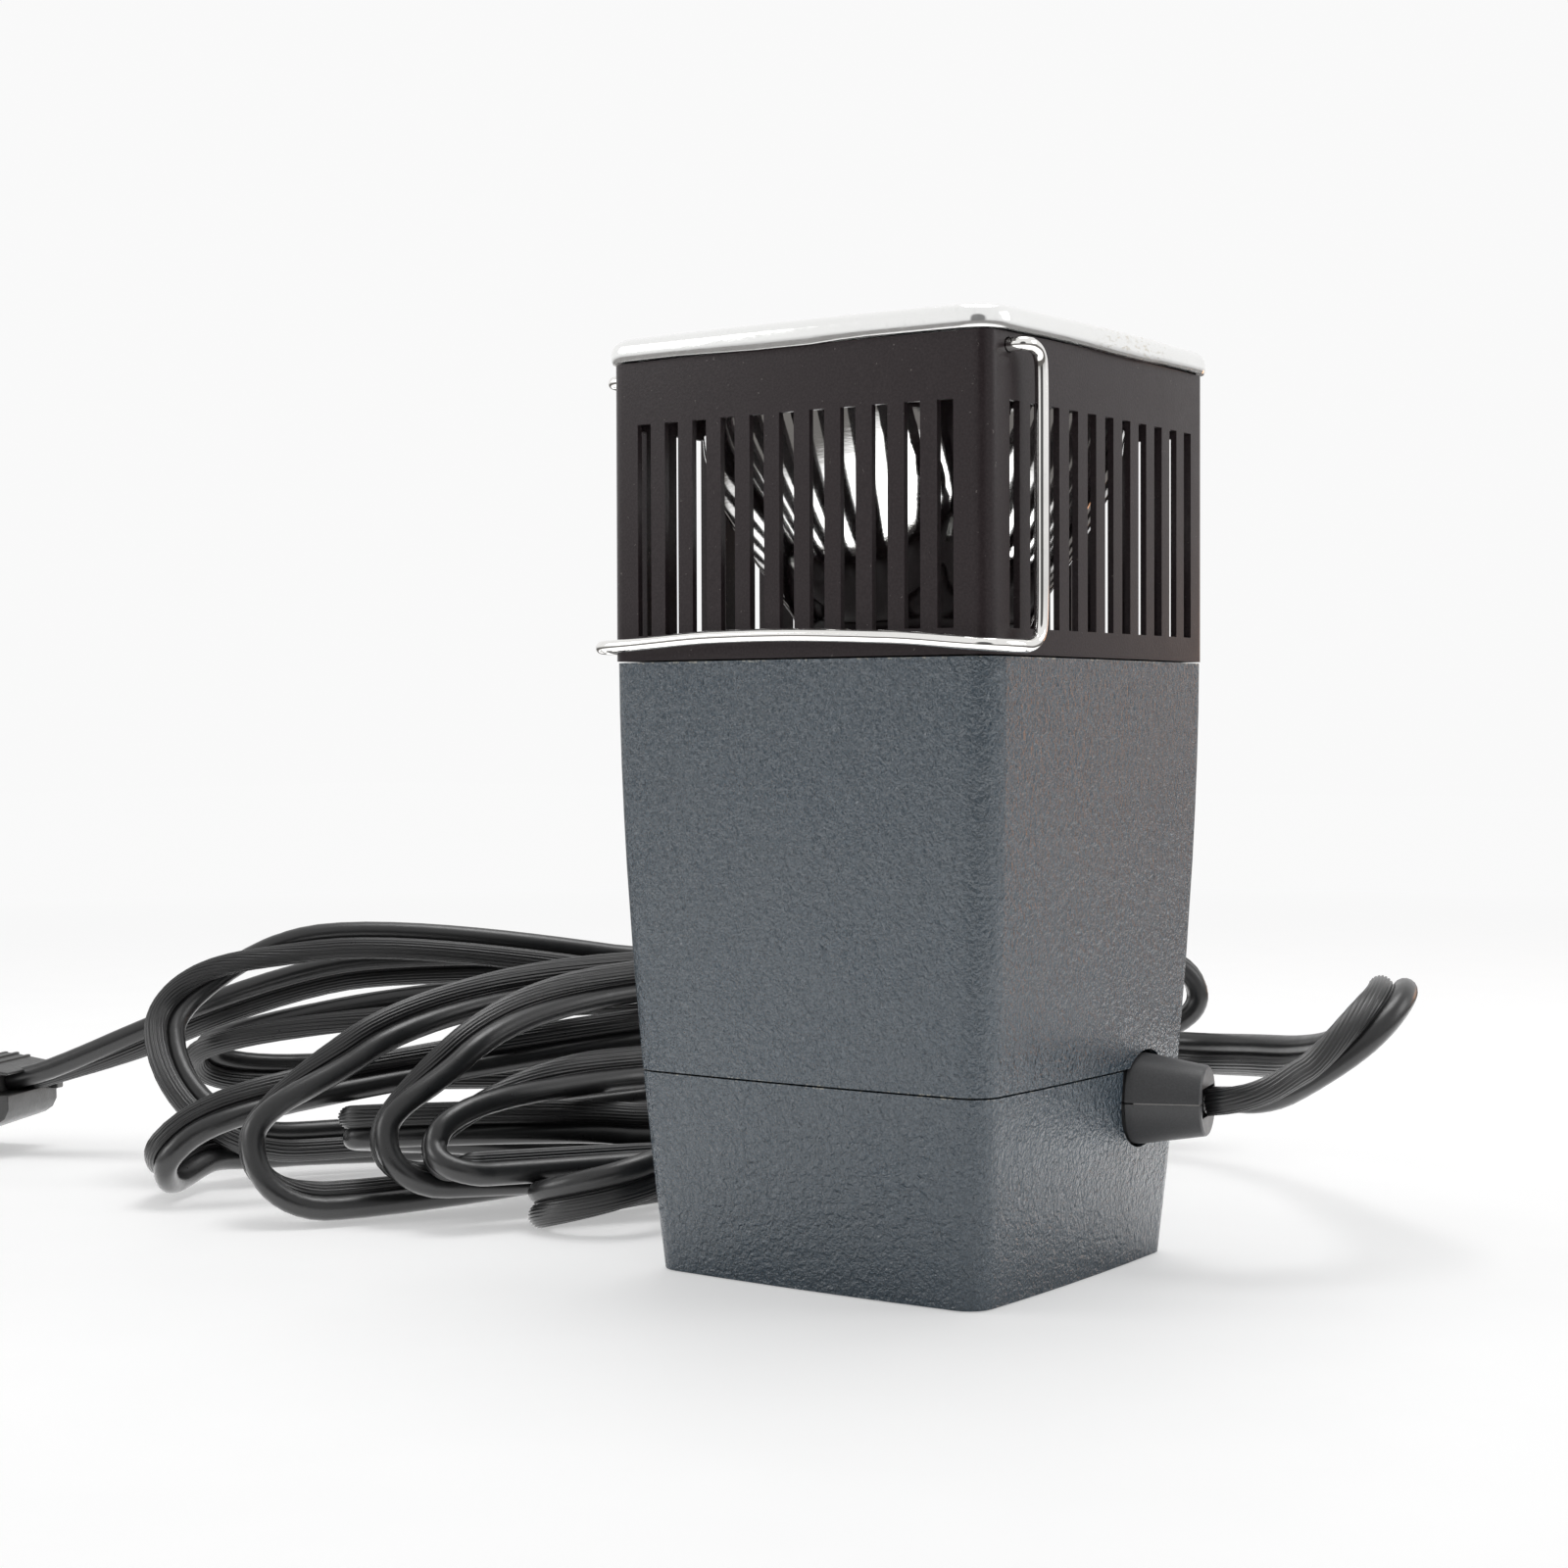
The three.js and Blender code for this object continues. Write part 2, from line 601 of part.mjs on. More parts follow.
function makeTerminalBlock() {
  let block = box([-11, -6, 8 + GAP], [11, 6, 18]);
  for (const x of [-5, 5]) block = block.subtract(post(2.1, 12, 20, x, 0, 12));
  return block;
}

const glandTurn = THREE.MathUtils.degToRad(GLAND_TURN);
const leadExit = [
  GLAND_X + GLAND_LENGTH * Math.cos(glandTurn), GLAND_Y + GLAND_LENGTH * Math.sin(glandTurn), GLAND_Z,
];

function makeInnerLead() {
  const path = knotPath([
    [leadExit, [-5, -1.2, 0]],
    [[27, GLAND_Y - 0.3, GLAND_Z], [-6, -0.4, 0]],
    [[19, 7, 20], [0, -6, -5]],
    [[11.4, 0, 13], [-5, 0, 0]],
  ]);
  const section = new THREE.Shape();
  section.absellipse(0, 0, 2.1, 4.2, 0, 2 * Math.PI);
  const points = section.getSpacedPoints(10).slice(0, 10);
  return sweep(path, new THREE.Shape(points), 5);
}

function makeInnerWire(knots) {
  return sweep(knotPath(knots), roundSection(1.1, 6), 5);
}

const backTerminalY = switchGroup.position.y - 14.4;
part("insulating_board", makeBoard(), board);
part("terminal_block", makeTerminalBlock(), ceramic);
part("cord_inner", makeInnerLead(), leadBlack);
part("lead_neutral", makeInnerWire([
  [[-5, 0, 12.4], [0, 0, 12]], [[-10, -9, 55], [0, 0, 14]], [[-5, 0, 96.1], [2, 4, 8]],
]), whiteLead);
part("lead_line", makeInnerWire([
  [[5, 0, 12.4], [0, 0, 12]], [[10, 8, 50], [0, 4, 12]], [[3, backTerminalY, 74], [0, 8, 1]],
]), leadBlack);
part("lead_switched", makeInnerWire([
  [[-3, backTerminalY, 84], [0, -6, 0]], [[0, 14, 90], [2, -5, 1]], [[5, 0, 96.1], [-1, -2, 6]],
]), brass);

// Mains lead: an arch from the strain relief round the lamp's back corner, a loose hank lying beside the
// lamp, and a tail to the plug. Each knot is a place and the handle that leaves it.

const archKnots = [
  [[leadExit[0] + 0.4, leadExit[1] + 0.1, GLAND_Z], [8.2, 2, 0]],
  [[62, 23, 33], [7, 3, 4]],
  [[69, 52, 45.5], [-5, 12, 0]],
  [[50, 81, 34.5], [-9, 12, -5]],
  [[18, 113, 26], [-14, 10, 0]],
  [[-24, 126, 23], [-14, -4, 0]],
];
const tailKnots = [
  [[-169, 32, 41], [-10, -9, -1]],
  [[-202, 7, 30], [-8, -5, -3]],
  [[-228.4, -8.2, 16.9], [-5, -2, -2]],
];

const HANK_HEIGHT = 52;
const hankEnds = [[-70, -14, 16], [-36, 130, 24], [-168, 6, 31], [-128, -22, 25]]; // x, y, radius

// The outline of a belt round the four circles, anticlockwise, and grown by the given margin.
function hankOutline(margin) {
  const points = [];
  hankEnds.forEach(([x, y, radius], i) => {
    const before = hankEnds[(i + 3) % 4];
    const after = hankEnds[(i + 1) % 4];
    const start = beltAngle(before, [x, y, radius]);
    let end = beltAngle([x, y, radius], after);
    if (end < start) end += 2 * Math.PI;
    const steps = Math.max(2, Math.round((end - start) / 0.28));
    for (let step = 0; step <= steps; step += 1) {
      const angle = start + ((end - start) * step) / steps;
      points.push([x + (radius + margin) * Math.cos(angle), y + (radius + margin) * Math.sin(angle)]);
    }
  });
  return points;
}

// Direction from a circle's centre to where the belt's straight run between two circles touches it.
function beltAngle([ax, ay, ar], [bx, by, br]) {
  const heading = Math.atan2(by - ay, bx - ax);
  const lean = Math.acos((ar - br) / Math.hypot(bx - ax, by - ay));
  return heading - lean;
}

const hank = solid(extruded(hankOutline(0), HANK_HEIGHT));
const hankSpace = solid(extruded(hankOutline(GAP), HANK_HEIGHT + 2).translate(0, 0, -1));

function makeLeadRun(knots, steps) {
  return sweep(knotPath(knots), roundSection(LEAD_RADIUS, 8), steps).subtract(hankSpace);
}

part("cord_arch", makeLeadRun(archKnots, 4), leadBlack);
part("cord_hank", hank, leadBlack);
part("cord_tail", makeLeadRun(tailKnots, 4), leadBlack);

// Plug, lying on the floor with the lead's end uppermost. Its own X axis runs along it, away from the lead.

const PLUG_HALF_WIDTH = 11;
const plugSide = [
  [0.3, 14.6], [0.2, 10.6], [1.2, 8.6], [3, 7.4], [5.6, 6.5], [14, 3.7], [25.5, 0.3], [30.7, 16.3],
  [12.5, 20.6], [10.5, 20.5], [4, 19.4], [0.3, 18.9],
];
const plugGroup = new THREE.Group();
plugGroup.position.set(-228.9, -8.4, 0);
plugGroup.rotation.z = Math.PI + Math.atan2(2, 5);

function makePlugBody() {
  const geometry = extruded(plugSide, 2 * PLUG_HALF_WIDTH).translate(0, 0, -PLUG_HALF_WIDTH);
  return solid(geometry.rotateX(Math.PI / 2));
}

function makeBlade(side) {
  const lean = Math.atan2(5.2, 16);
  const blade = box([GAP, -0.75, -3.15], [16.2, 0.75, 3.15]).rotate([0, THREE.MathUtils.radToDeg(lean), 0]);
  return blade.translate([28.1, side * 6.35, 8.3]);
}

part("plug_body", makePlugBody(), rubber, plugGroup);
part("plug_blade_1", makeBlade(-1), brass, plugGroup);
part("plug_blade_2", makeBlade(1), brass, plugGroup);
model.add(plugGroup);

export default model;
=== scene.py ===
import json
import math

import bpy
from mathutils import Matrix, Vector

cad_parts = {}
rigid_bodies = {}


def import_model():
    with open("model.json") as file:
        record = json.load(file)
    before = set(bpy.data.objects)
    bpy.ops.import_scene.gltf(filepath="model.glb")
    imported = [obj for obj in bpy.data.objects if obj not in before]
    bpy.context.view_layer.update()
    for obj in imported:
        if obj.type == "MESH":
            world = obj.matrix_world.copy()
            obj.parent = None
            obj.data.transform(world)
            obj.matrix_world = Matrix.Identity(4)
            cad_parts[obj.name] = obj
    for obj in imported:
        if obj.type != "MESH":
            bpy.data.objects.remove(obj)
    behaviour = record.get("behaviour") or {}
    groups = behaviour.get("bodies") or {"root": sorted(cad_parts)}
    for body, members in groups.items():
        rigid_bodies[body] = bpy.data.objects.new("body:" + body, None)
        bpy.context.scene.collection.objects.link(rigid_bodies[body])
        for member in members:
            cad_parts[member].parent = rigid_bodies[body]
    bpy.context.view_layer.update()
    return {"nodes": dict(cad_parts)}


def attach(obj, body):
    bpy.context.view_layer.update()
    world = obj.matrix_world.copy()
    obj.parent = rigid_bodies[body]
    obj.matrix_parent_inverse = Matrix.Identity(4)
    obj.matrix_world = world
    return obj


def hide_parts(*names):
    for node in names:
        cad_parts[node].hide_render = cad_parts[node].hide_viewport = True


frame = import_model()
nodes = frame["nodes"]
scene = bpy.context.scene

# A small square reflector lamp and its mains lead. Z is up and is the lamp's axis, and its front, where the
# bail hangs, is the -Y face. Shapes are written in millimetres and become metres by MM. All else is metres.
MM = 0.001


# ---------------------------------------------------------------- camera

CAMERA_PLACE = (0.2571, -0.4048, 0.0950)
CAMERA_HEADING = 35.185  # degrees about Z, where 0 looks along +Y
CAMERA_PITCH = 88.766  # degrees, where 90 is level
CAMERA_ROLL = -0.17  # degrees
CAMERA_LENS = 61.875

camera_data = bpy.data.cameras.new("studio_camera")
camera_data.sensor_width = 36
camera_data.lens = CAMERA_LENS
camera = bpy.data.objects.new("studio_camera", camera_data)
scene.collection.objects.link(camera)
heading = Matrix.Rotation(math.radians(CAMERA_HEADING), 4, "Z")
pitch = Matrix.Rotation(math.radians(CAMERA_PITCH), 4, "X")
roll = Matrix.Rotation(math.radians(CAMERA_ROLL), 4, "Z")
camera.matrix_world = Matrix.Translation(CAMERA_PLACE) @ heading @ pitch @ roll
scene.camera = camera


# ---------------------------------------------------------------- material building

class NodeSet:
    """Short calls for the nodes of one material or world."""

    def __init__(self, tree, coordinates):
        self.tree = tree
        self.place = self.node("ShaderNodeTexCoord").outputs[coordinates]

    def node(self, kind, **settings):
        made = self.tree.nodes.new(kind)
        for key, value in settings.items():
            setattr(made, key, value)
        return made

    def put(self, socket, value):
        """Links a socket to another socket, or gives it a plain value. A colour may leave out its alpha."""
        if isinstance(value, bpy.types.NodeSocket):
            self.tree.links.new(value, socket)
        elif socket.type == "RGBA" and len(value) == 3:
            socket.default_value = (*value, 1)
        else:
            socket.default_value = value

    def span(self, value, low, high, to_low=0.0, to_high=1.0):
        """value from low..high to to_low..to_high, held at both ends."""
        ranged = self.node("ShaderNodeMapRange", clamp=True)
        self.put(ranged.inputs["Value"], value)
        for key, number in zip(("From Min", "From Max", "To Min", "To Max"), (low, high, to_low, to_high)):
            ranged.inputs[key].default_value = number
        return ranged.outputs["Result"]

    def calc(self, operation, first, second):
        math_node = self.node("ShaderNodeMath", operation=operation)
        self.put(math_node.inputs[0], first)
        self.put(math_node.inputs[1], second)
        return math_node.outputs[0]

    def apart(self, value, middle):
        """How far value is from middle, either way."""
        return self.calc("ABSOLUTE", self.calc("SUBTRACT", value, middle), 0.0)

    def axis(self, letter):
        parts = self.node("ShaderNodeSeparateXYZ")
        self.put(parts.inputs[0], self.place)
        return parts.outputs[letter]

    def glow(self, colour, strength):
        emission = self.node("ShaderNodeEmission")
        self.put(emission.inputs["Color"], colour)
        self.put(emission.inputs["Strength"], strength)
        return emission.outputs[0]

    def mix_shaders(self, amount, first, second):
        blend = self.node("ShaderNodeMixShader")
        for socket, value in zip(blend.inputs, (amount, first, second)):
            self.put(socket, value)
        return blend.outputs[0]


class Finish(NodeSet):
    """A procedural material on a piece's own coordinates."""

    def __init__(self, name):
        self.material = bpy.data.materials.new(name)
        self.material.use_nodes = True
        super().__init__(self.material.node_tree, "Object")
        self.shader = self.tree.nodes["Principled BSDF"]

    def set(self, **values):
        """Gives the shader its inputs, with _ for each space in an input's name."""
        for key, value in values.items():
            self.put(self.shader.inputs[key.replace("_", " ")], value)

    def noise(self, scale, detail=2.0, roughness=0.5, stretch=(1, 1, 1), distortion=0.0):
        """Fine grain in the piece's own space. scale is how many cells to a metre."""
        mapping = self.node("ShaderNodeMapping")
        self.put(mapping.inputs["Vector"], self.place)
        mapping.inputs["Scale"].default_value = stretch
        texture = self.node("ShaderNodeTexNoise")
        self.put(texture.inputs["Vector"], mapping.outputs["Vector"])
        texture.inputs["Scale"].default_value = scale
        texture.inputs["Detail"].default_value = detail
        texture.inputs["Roughness"].default_value = roughness
        texture.inputs["Distortion"].default_value = distortion
        return texture.outputs["Fac"]

    def mix(self, amount, first, second):
        blend = self.node("ShaderNodeMix", data_type="RGBA")
        for index, value in ((0, amount), (6, first), (7, second)):
            self.put(blend.inputs[index], value)
        return blend.outputs[2]

    def bump(self, height, depth):
        """Gives the surface its relief and returns the material. depth is the relief's full swing."""
        bump_node = self.node("ShaderNodeBump")
        self.put(bump_node.inputs["Height"], height)
        bump_node.inputs["Distance"].default_value = depth
        bump_node.inputs["Strength"].default_value = 1.0
        self.put(self.shader.inputs["Normal"], bump_node.outputs["Normal"])
        return self.material


def toned(colour, share):
    """A lighter or darker tone of a colour."""
    return tuple(c * share for c in colour)


# ---------------------------------------------------------------- materials

SEAM = 0.035  # height of the seam between the two shells
SHELL_TOP = 0.106
PAINT_DARK, PAINT_FLECK = (0.010, 0.026, 0.042), (0.035, 0.060, 0.084)
PAINT_CLOUD = (0.080, 0.090, 0.098)
BARE_METAL = (0.32, 0.31, 0.26)
CHIP_FADE = (0.00018, 0.00042)  # how far from an edge the chips end
SATIN_DARK, SATIN_LIGHT = (0.021, 0.0145, 0.016), (0.031, 0.0225, 0.0245)
UNDERCOAT = (0.60, 0.56, 0.47)  # beige, under the rim's plating
WORN_MIDDLE = 0.006  # the rubbed patch's place in Y,
WORN_FADE = (0.004, 0.016)  # where it thins out either way,
WORN_SIDE = (0.037, 0.039)  # and where the rim's +X side begins


def wrinkle_paint():
    """Blue-grey wrinkle enamel, with fine pale flecks, and bare metal showing along the shells' edges."""
    f = Finish("wrinkle_paint")
    coarse = f.noise(760, distortion=0.8)
    fine = f.noise(1900, roughness=0.6, distortion=0.4)
    wrinkle = f.calc("ADD", coarse, f.calc("MULTIPLY", fine, 0.5))
    flecks = f.noise(2700, roughness=0.6)
    clouds = f.noise(60)
    colour = f.mix(f.span(flecks, 0.36, 0.64), PAINT_DARK, PAINT_FLECK)
    colour = f.mix(f.span(clouds, 0.3, 0.7, 0, 0.18), colour, PAINT_CLOUD)
    height = f.axis("Z")
    from_edge = f.calc("MINIMUM", f.apart(height, SEAM), f.apart(height, SHELL_TOP))
    edge = f.span(from_edge, *CHIP_FADE, 1, 0)
    chips = f.span(f.noise(700, 3.0, 0.7), 0.56, 0.66)
    colour = f.mix(f.calc("MULTIPLY", edge, chips), colour, BARE_METAL)
    f.set(Base_Color=colour, Metallic=0.0, Roughness=f.span(clouds, 0.3, 0.7, 0.20, 0.26))
    f.set(Specular_IOR_Level=0.75)
    return f.bump(wrinkle, 0.00065)


def cage_satin():
    """Brown-black satin, lightly dusty."""
    f = Finish("cage_satin")
    grain = f.noise(2400)
    dust = f.noise(220, 4.0, 0.7)
    specks = f.noise(1300, 3.0, 0.6)
    colour = f.mix(f.span(grain, 0.35, 0.7), SATIN_DARK, SATIN_LIGHT)
    colour = f.mix(f.span(dust, 0.62, 0.8, 0, 0.12), colour, (0.10, 0.09, 0.09))
    colour = f.mix(f.span(specks, 0.70, 0.74, 0, 0.5), colour, (0.20, 0.18, 0.17))
    f.set(Base_Color=colour, Roughness=f.span(dust, 0.3, 0.7, 0.30, 0.38), Specular_IOR_Level=0.27)
    return f.bump(grain, 0.00002)


def bright_plate(name, colour, low, high, worn=None, metal=1.0):
    """Bright plating with its roughness between low and high. worn may rub it through in places."""
    f = Finish(name)
    marks = f.noise(700, 4.0, 0.65)
    waves = f.noise(90, 1.0)
    tint = f.mix(f.span(marks, 0.58, 0.75, 0, 0.35), colour, toned(colour, 0.82))
    roughness = f.span(marks, 0.35, 0.75, low, high)
    if worn:
        tint, roughness = worn(f, tint, roughness)
    f.set(Base_Color=tint, Metallic=metal, Roughness=roughness)
    return f.bump(waves, 0.00006)


def worn_patch(f, tint, roughness):
    """Plating rubbed through to its undercoat, near the middle of the rim's +X side."""
    band = f.span(f.apart(f.axis("Y"), WORN_MIDDLE), *WORN_FADE, 1, 0)
    side = f.span(f.axis("X"), *WORN_SIDE)
    spots = f.span(f.noise(620, 4.0, 0.75, (1, 1, 2.2)), 0.54, 0.64)
    worn = f.calc("MULTIPLY", f.calc("MULTIPLY", band, side), spots)
    tint = f.mix(worn, tint, UNDERCOAT)
    return tint, f.calc("MAXIMUM", roughness, f.calc("MULTIPLY", worn, 0.40))


def mirror_sheet():
    """Polished spun sheet, with faint turning marks."""
    f = Finish("mirror_sheet")
    marks = f.noise(300, 3.0, 0.6, (1, 1, 6))
    haze = f.noise(70)
    f.set(Base_Color=f.mix(f.span(haze, 0.4, 0.7, 0, 0.3), (0.90, 0.90, 0.89), (0.78, 0.78, 0.77)))
    f.set(Metallic=1.0, Roughness=f.span(haze, 0.35, 0.7, 0.05, 0.12))
    return f.bump(marks, 0.00001)


def plain_metal(name, colour, roughness):
    """Bare metal with fine marks."""
    f = Finish(name)
    marks = f.noise(900, 3.0, 0.6, (1, 1, 0.7))
    f.set(Base_Color=f.mix(f.span(marks, 0.3, 0.7), colour, toned(colour, 0.85)))
    f.set(Metallic=1.0, Roughness=f.span(marks, 0.3, 0.7, roughness, roughness + 0.12))
    return f.bump(marks, 0.00001)


def moulded(name, colour, roughness, grain_depth=0.00001, dusty=0.0, shine=0.5):
    """Moulded rubber, plastic or ceramic. dusty is the share of pale dust in its patches."""
    f = Finish(name)
    grain = f.noise(3000)
    dust = f.noise(400, 4.0, 0.7)
    shade = f.mix(f.span(grain, 0.3, 0.7), toned(colour, 0.86), toned(colour, 1.14))
    shade = f.mix(f.span(dust, 0.6, 0.8, 0, dusty), shade, tuple(min(1, c * 3 + 0.06) for c in colour))
    f.set(Base_Color=shade, Roughness=f.span(dust, 0.3, 0.75, roughness, roughness + 0.12))
    f.set(Specular_IOR_Level=shine)
    return f.bump(grain, grain_depth)


def clear_glass():
    """Clear glass with faint smears."""
    f = Finish("clear_glass")
    smears = f.noise(120, 3.0)
    f.set(Base_Color=(0.97, 0.985, 0.985), Roughness=f.span(smears, 0.4, 0.8, 0.0, 0.05))
    f.set(Transmission_Weight=1.0, IOR=1.45)
    return f.material


paint = wrinkle_paint()
satin = cage_satin()
rim_chrome = bright_plate("rim_chrome", (0.88, 0.88, 0.87), 0.07, 0.22, worn_patch, 0.75)
wire_chrome = bright_plate("wire_chrome", (0.80, 0.79, 0.77), 0.06, 0.14)
mirror = mirror_sheet()
steel = plain_metal("screw_steel", (0.58, 0.58, 0.56), 0.28)
brass = plain_metal("blade_brass", (0.62, 0.49, 0.26), 0.25)
rubber = moulded("relief_rubber", (0.052, 0.052, 0.054), 0.42, 0.00002, 0.1)
plug_rubber = moulded("plug_rubber", (0.024, 0.024, 0.0235), 0.40, 0.00006, 0.3)
flash = moulded("relief_flash", (0.26, 0.25, 0.24), 0.5)
sheath = moulded("lead_sheath", (0.014, 0.014, 0.0145), 0.27, 0.000003, 0.05, 0.47)
ceramic = moulded("holder_ceramic", (0.72, 0.69, 0.62), 0.45)
white_wire = moulded("white_wire", (0.62, 0.60, 0.55), 0.45)
fibre = moulded("fibre_board", (0.20, 0.11, 0.055), 0.7, 0.00004)
glass = clear_glass()


# ---------------------------------------------------------------- shaping

WELD = 0.000004  # corners of a CAD node's loose triangles that are nearer than this are one corner
FLAT = math.radians(0.6)  # faces that turn less than this are one flat face
SHARP = math.radians(30)  # edges that turn more than this are rounded


def pick(piece):
    """Makes the piece the only selected object and the active one."""
    bpy.ops.object.select_all(action="DESELECT")
    piece.select_set(True)
    bpy.context.view_layer.objects.active = piece


def begin(piece):
    """Opens the piece in edit mode, with all of it selected."""
    pick(piece)
    bpy.ops.object.mode_set(mode="EDIT")
    bpy.ops.mesh.select_all(action="SELECT")


def start(name, add, **size):
    """A primitive at the origin, under its name, open in edit mode with all of it selected."""
    bpy.ops.object.select_all(action="DESELECT")
    add(location=(0, 0, 0), **size)
    piece = bpy.context.object
    piece.name = name
    begin(piece)
    return piece


def merged_copy(node, name):
    """A copy of a CAD node with its loose triangles joined, open in edit mode."""
    piece = bpy.data.objects.new(name, nodes[node].data.copy())
    scene.collection.objects.link(piece)
    begin(piece)
    bpy.ops.mesh.remove_doubles(threshold=WELD)
    bpy.ops.mesh.normals_make_consistent(inside=False)
    return piece


def apply(piece, kind, **settings):
    """Adds a modifier and applies it. Leaves edit mode."""
    bpy.ops.object.mode_set(mode="OBJECT")
    modifier = piece.modifiers.new(kind.lower(), kind)
    for key, value in settings.items():
        setattr(modifier, key, value)
    bpy.ops.object.modifier_apply(modifier=modifier.name)


def round_edges(piece, width, segments):
    """Rounds the sharp edges over a width in millimetres. Leaves edit mode."""
    apply(
        piece, "BEVEL", width=width * MM, segments=segments, limit_method="ANGLE", angle_limit=SHARP,
        use_clamp_overlap=True,
    )


def finish_piece(piece, body, material, stands_for, smooth=35, even=False):
    """Shades a shaped piece, gives it its material, and says what it rides on and stands for."""
    bpy.ops.object.mode_set(mode="OBJECT")
    bpy.ops.object.shade_smooth_by_angle(angle=math.radians(smooth))
    if even:
        apply(piece, "WEIGHTED_NORMAL", keep_sharp=True)
    piece.data.materials.clear()
    piece.data.materials.append(material)
    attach(piece, body)
    if stands_for:
        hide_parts(*stands_for)
    return piece


def refined(node, material, width, segments, smooth=35, body="lamp"):
    """A merged copy of a CAD node with its sharp edges rounded, standing in for the node."""
    piece = merged_copy(node, f"{node}_finished")
    bpy.ops.mesh.dissolve_limited(angle_limit=FLAT)
    round_edges(piece, width, segments)
    return finish_piece(piece, body, material, [node], smooth, even=True)


def select_where(piece, test):
    """Selects the points whose place, in millimetres, passes the test. Stays in edit mode."""
    bpy.ops.mesh.select_all(action="DESELECT")
    bpy.ops.object.mode_set(mode="OBJECT")
    for vertex in piece.data.vertices:
        vertex.select = test(*(vertex.co / MM))
    bpy.ops.object.mode_set(mode="EDIT")


def move(x, y, z, **settings):
    """Moves what is selected, by millimetres."""
    bpy.ops.transform.translate(value=(x * MM, y * MM, z * MM), **settings)


def drag(x, y, z, reach):
    """Moves what is selected and draws along what lies within reach of it, in millimetres."""
    move(
        x, y, z, use_proportional_edit=True, proportional_edit_falloff="SMOOTH", proportional_size=reach * MM,
    )


def turn(angle):
    """Turns what is selected about Z, anticlockwise from above, where the operator takes the other sign."""
    bpy.ops.transform.rotate(value=-angle, orient_axis="Z", center_override=(0, 0, 0))


def size_block(low, high):
    """Stretches the selected unit cube between two corners, in millimetres."""
    bpy.ops.transform.resize(value=[(b - a) * MM for a, b in zip(low, high)], center_override=(0, 0, 0))
    move(*[(a + b) / 2 for a, b in zip(low, high)])


# ---------------------------------------------------------------- the plug

# In the plug's own space, in millimetres, the lead enters at X 0, the blades point along +X, and Z is up.
PLUG_TURN = math.pi + math.atan2(2, 5)
PLUG_PLACE = (-228.9, -8.4, 0)
THROAT = ((-1, -8.4, 13.9), (4.8, 12, 18.3))  # the hollow that the lead runs into, by its corners
TAB = ((-1.4, -11.0, 13.0), (1.6, -8.2, 16.6))
GRIP_RIBS = ((7.4, 20.0), (10.2, 20.5), (13.0, 20.5), (15.8, 19.8), (18.6, 19.15))  # X, and the plug's top
GRIP_RIB_HALF = 0.55
GRIP_RIB_REACH = 11.25
GRIP_RIB_FOOT = 11.5
GRIP_RIB_RISE = 0.3
SOFT_EDGE = 0.3
PLUG_EDGE = 0.5


def carry_to_plug():
    """Takes what is selected from the plug's own space to where the plug lies."""
    turn(PLUG_TURN)
    move(*PLUG_PLACE)


def add_block(low, high):
    """Adds a soft-edged block to the piece being shaped, between two corners in the plug's space."""
    bpy.ops.mesh.select_all(action="DESELECT")
    bpy.ops.mesh.primitive_cube_add(size=1, location=(0, 0, 0))
    size_block(low, high)
    bpy.ops.mesh.bevel(offset=SOFT_EDGE * MM, segments=2, affect="EDGES")
    bpy.ops.mesh.select_linked()
    carry_to_plug()


def cut_block(piece, low, high):
    """Cuts a block out of the piece, between two corners in the plug's space. Leaves edit mode."""
    bpy.ops.object.mode_set(mode="OBJECT")
    block = start("cutter", bpy.ops.mesh.primitive_cube_add, size=1)
    size_block(low, high)
    carry_to_plug()
    bpy.ops.object.mode_set(mode="OBJECT")
    pick(piece)
    apply(piece, "BOOLEAN", operation="DIFFERENCE", object=block, solver="EXACT")
    bpy.data.meshes.remove(block.data)


def plug():
    """The moulded plug: a throat for the lead, soft edges, grip ribs over its top and a small side tab."""
    piece = merged_copy("plug_body", "plug_finished")
    bpy.ops.mesh.dissolve_limited(angle_limit=FLAT)
    cut_block(piece, *THROAT)
    round_edges(piece, PLUG_EDGE, 3)
    bpy.ops.object.mode_set(mode="EDIT")
    for middle, height in GRIP_RIBS:
        low = (middle - GRIP_RIB_HALF, -GRIP_RIB_REACH, GRIP_RIB_FOOT)
        high = (middle + GRIP_RIB_HALF, GRIP_RIB_REACH, height + GRIP_RIB_RISE)
        add_block(low, high)
    add_block(*TAB)
    return finish_piece(piece, "lamp", plug_rubber, ["plug_body"], 40, even=True)


# ---------------------------------------------------------------- the mains lead

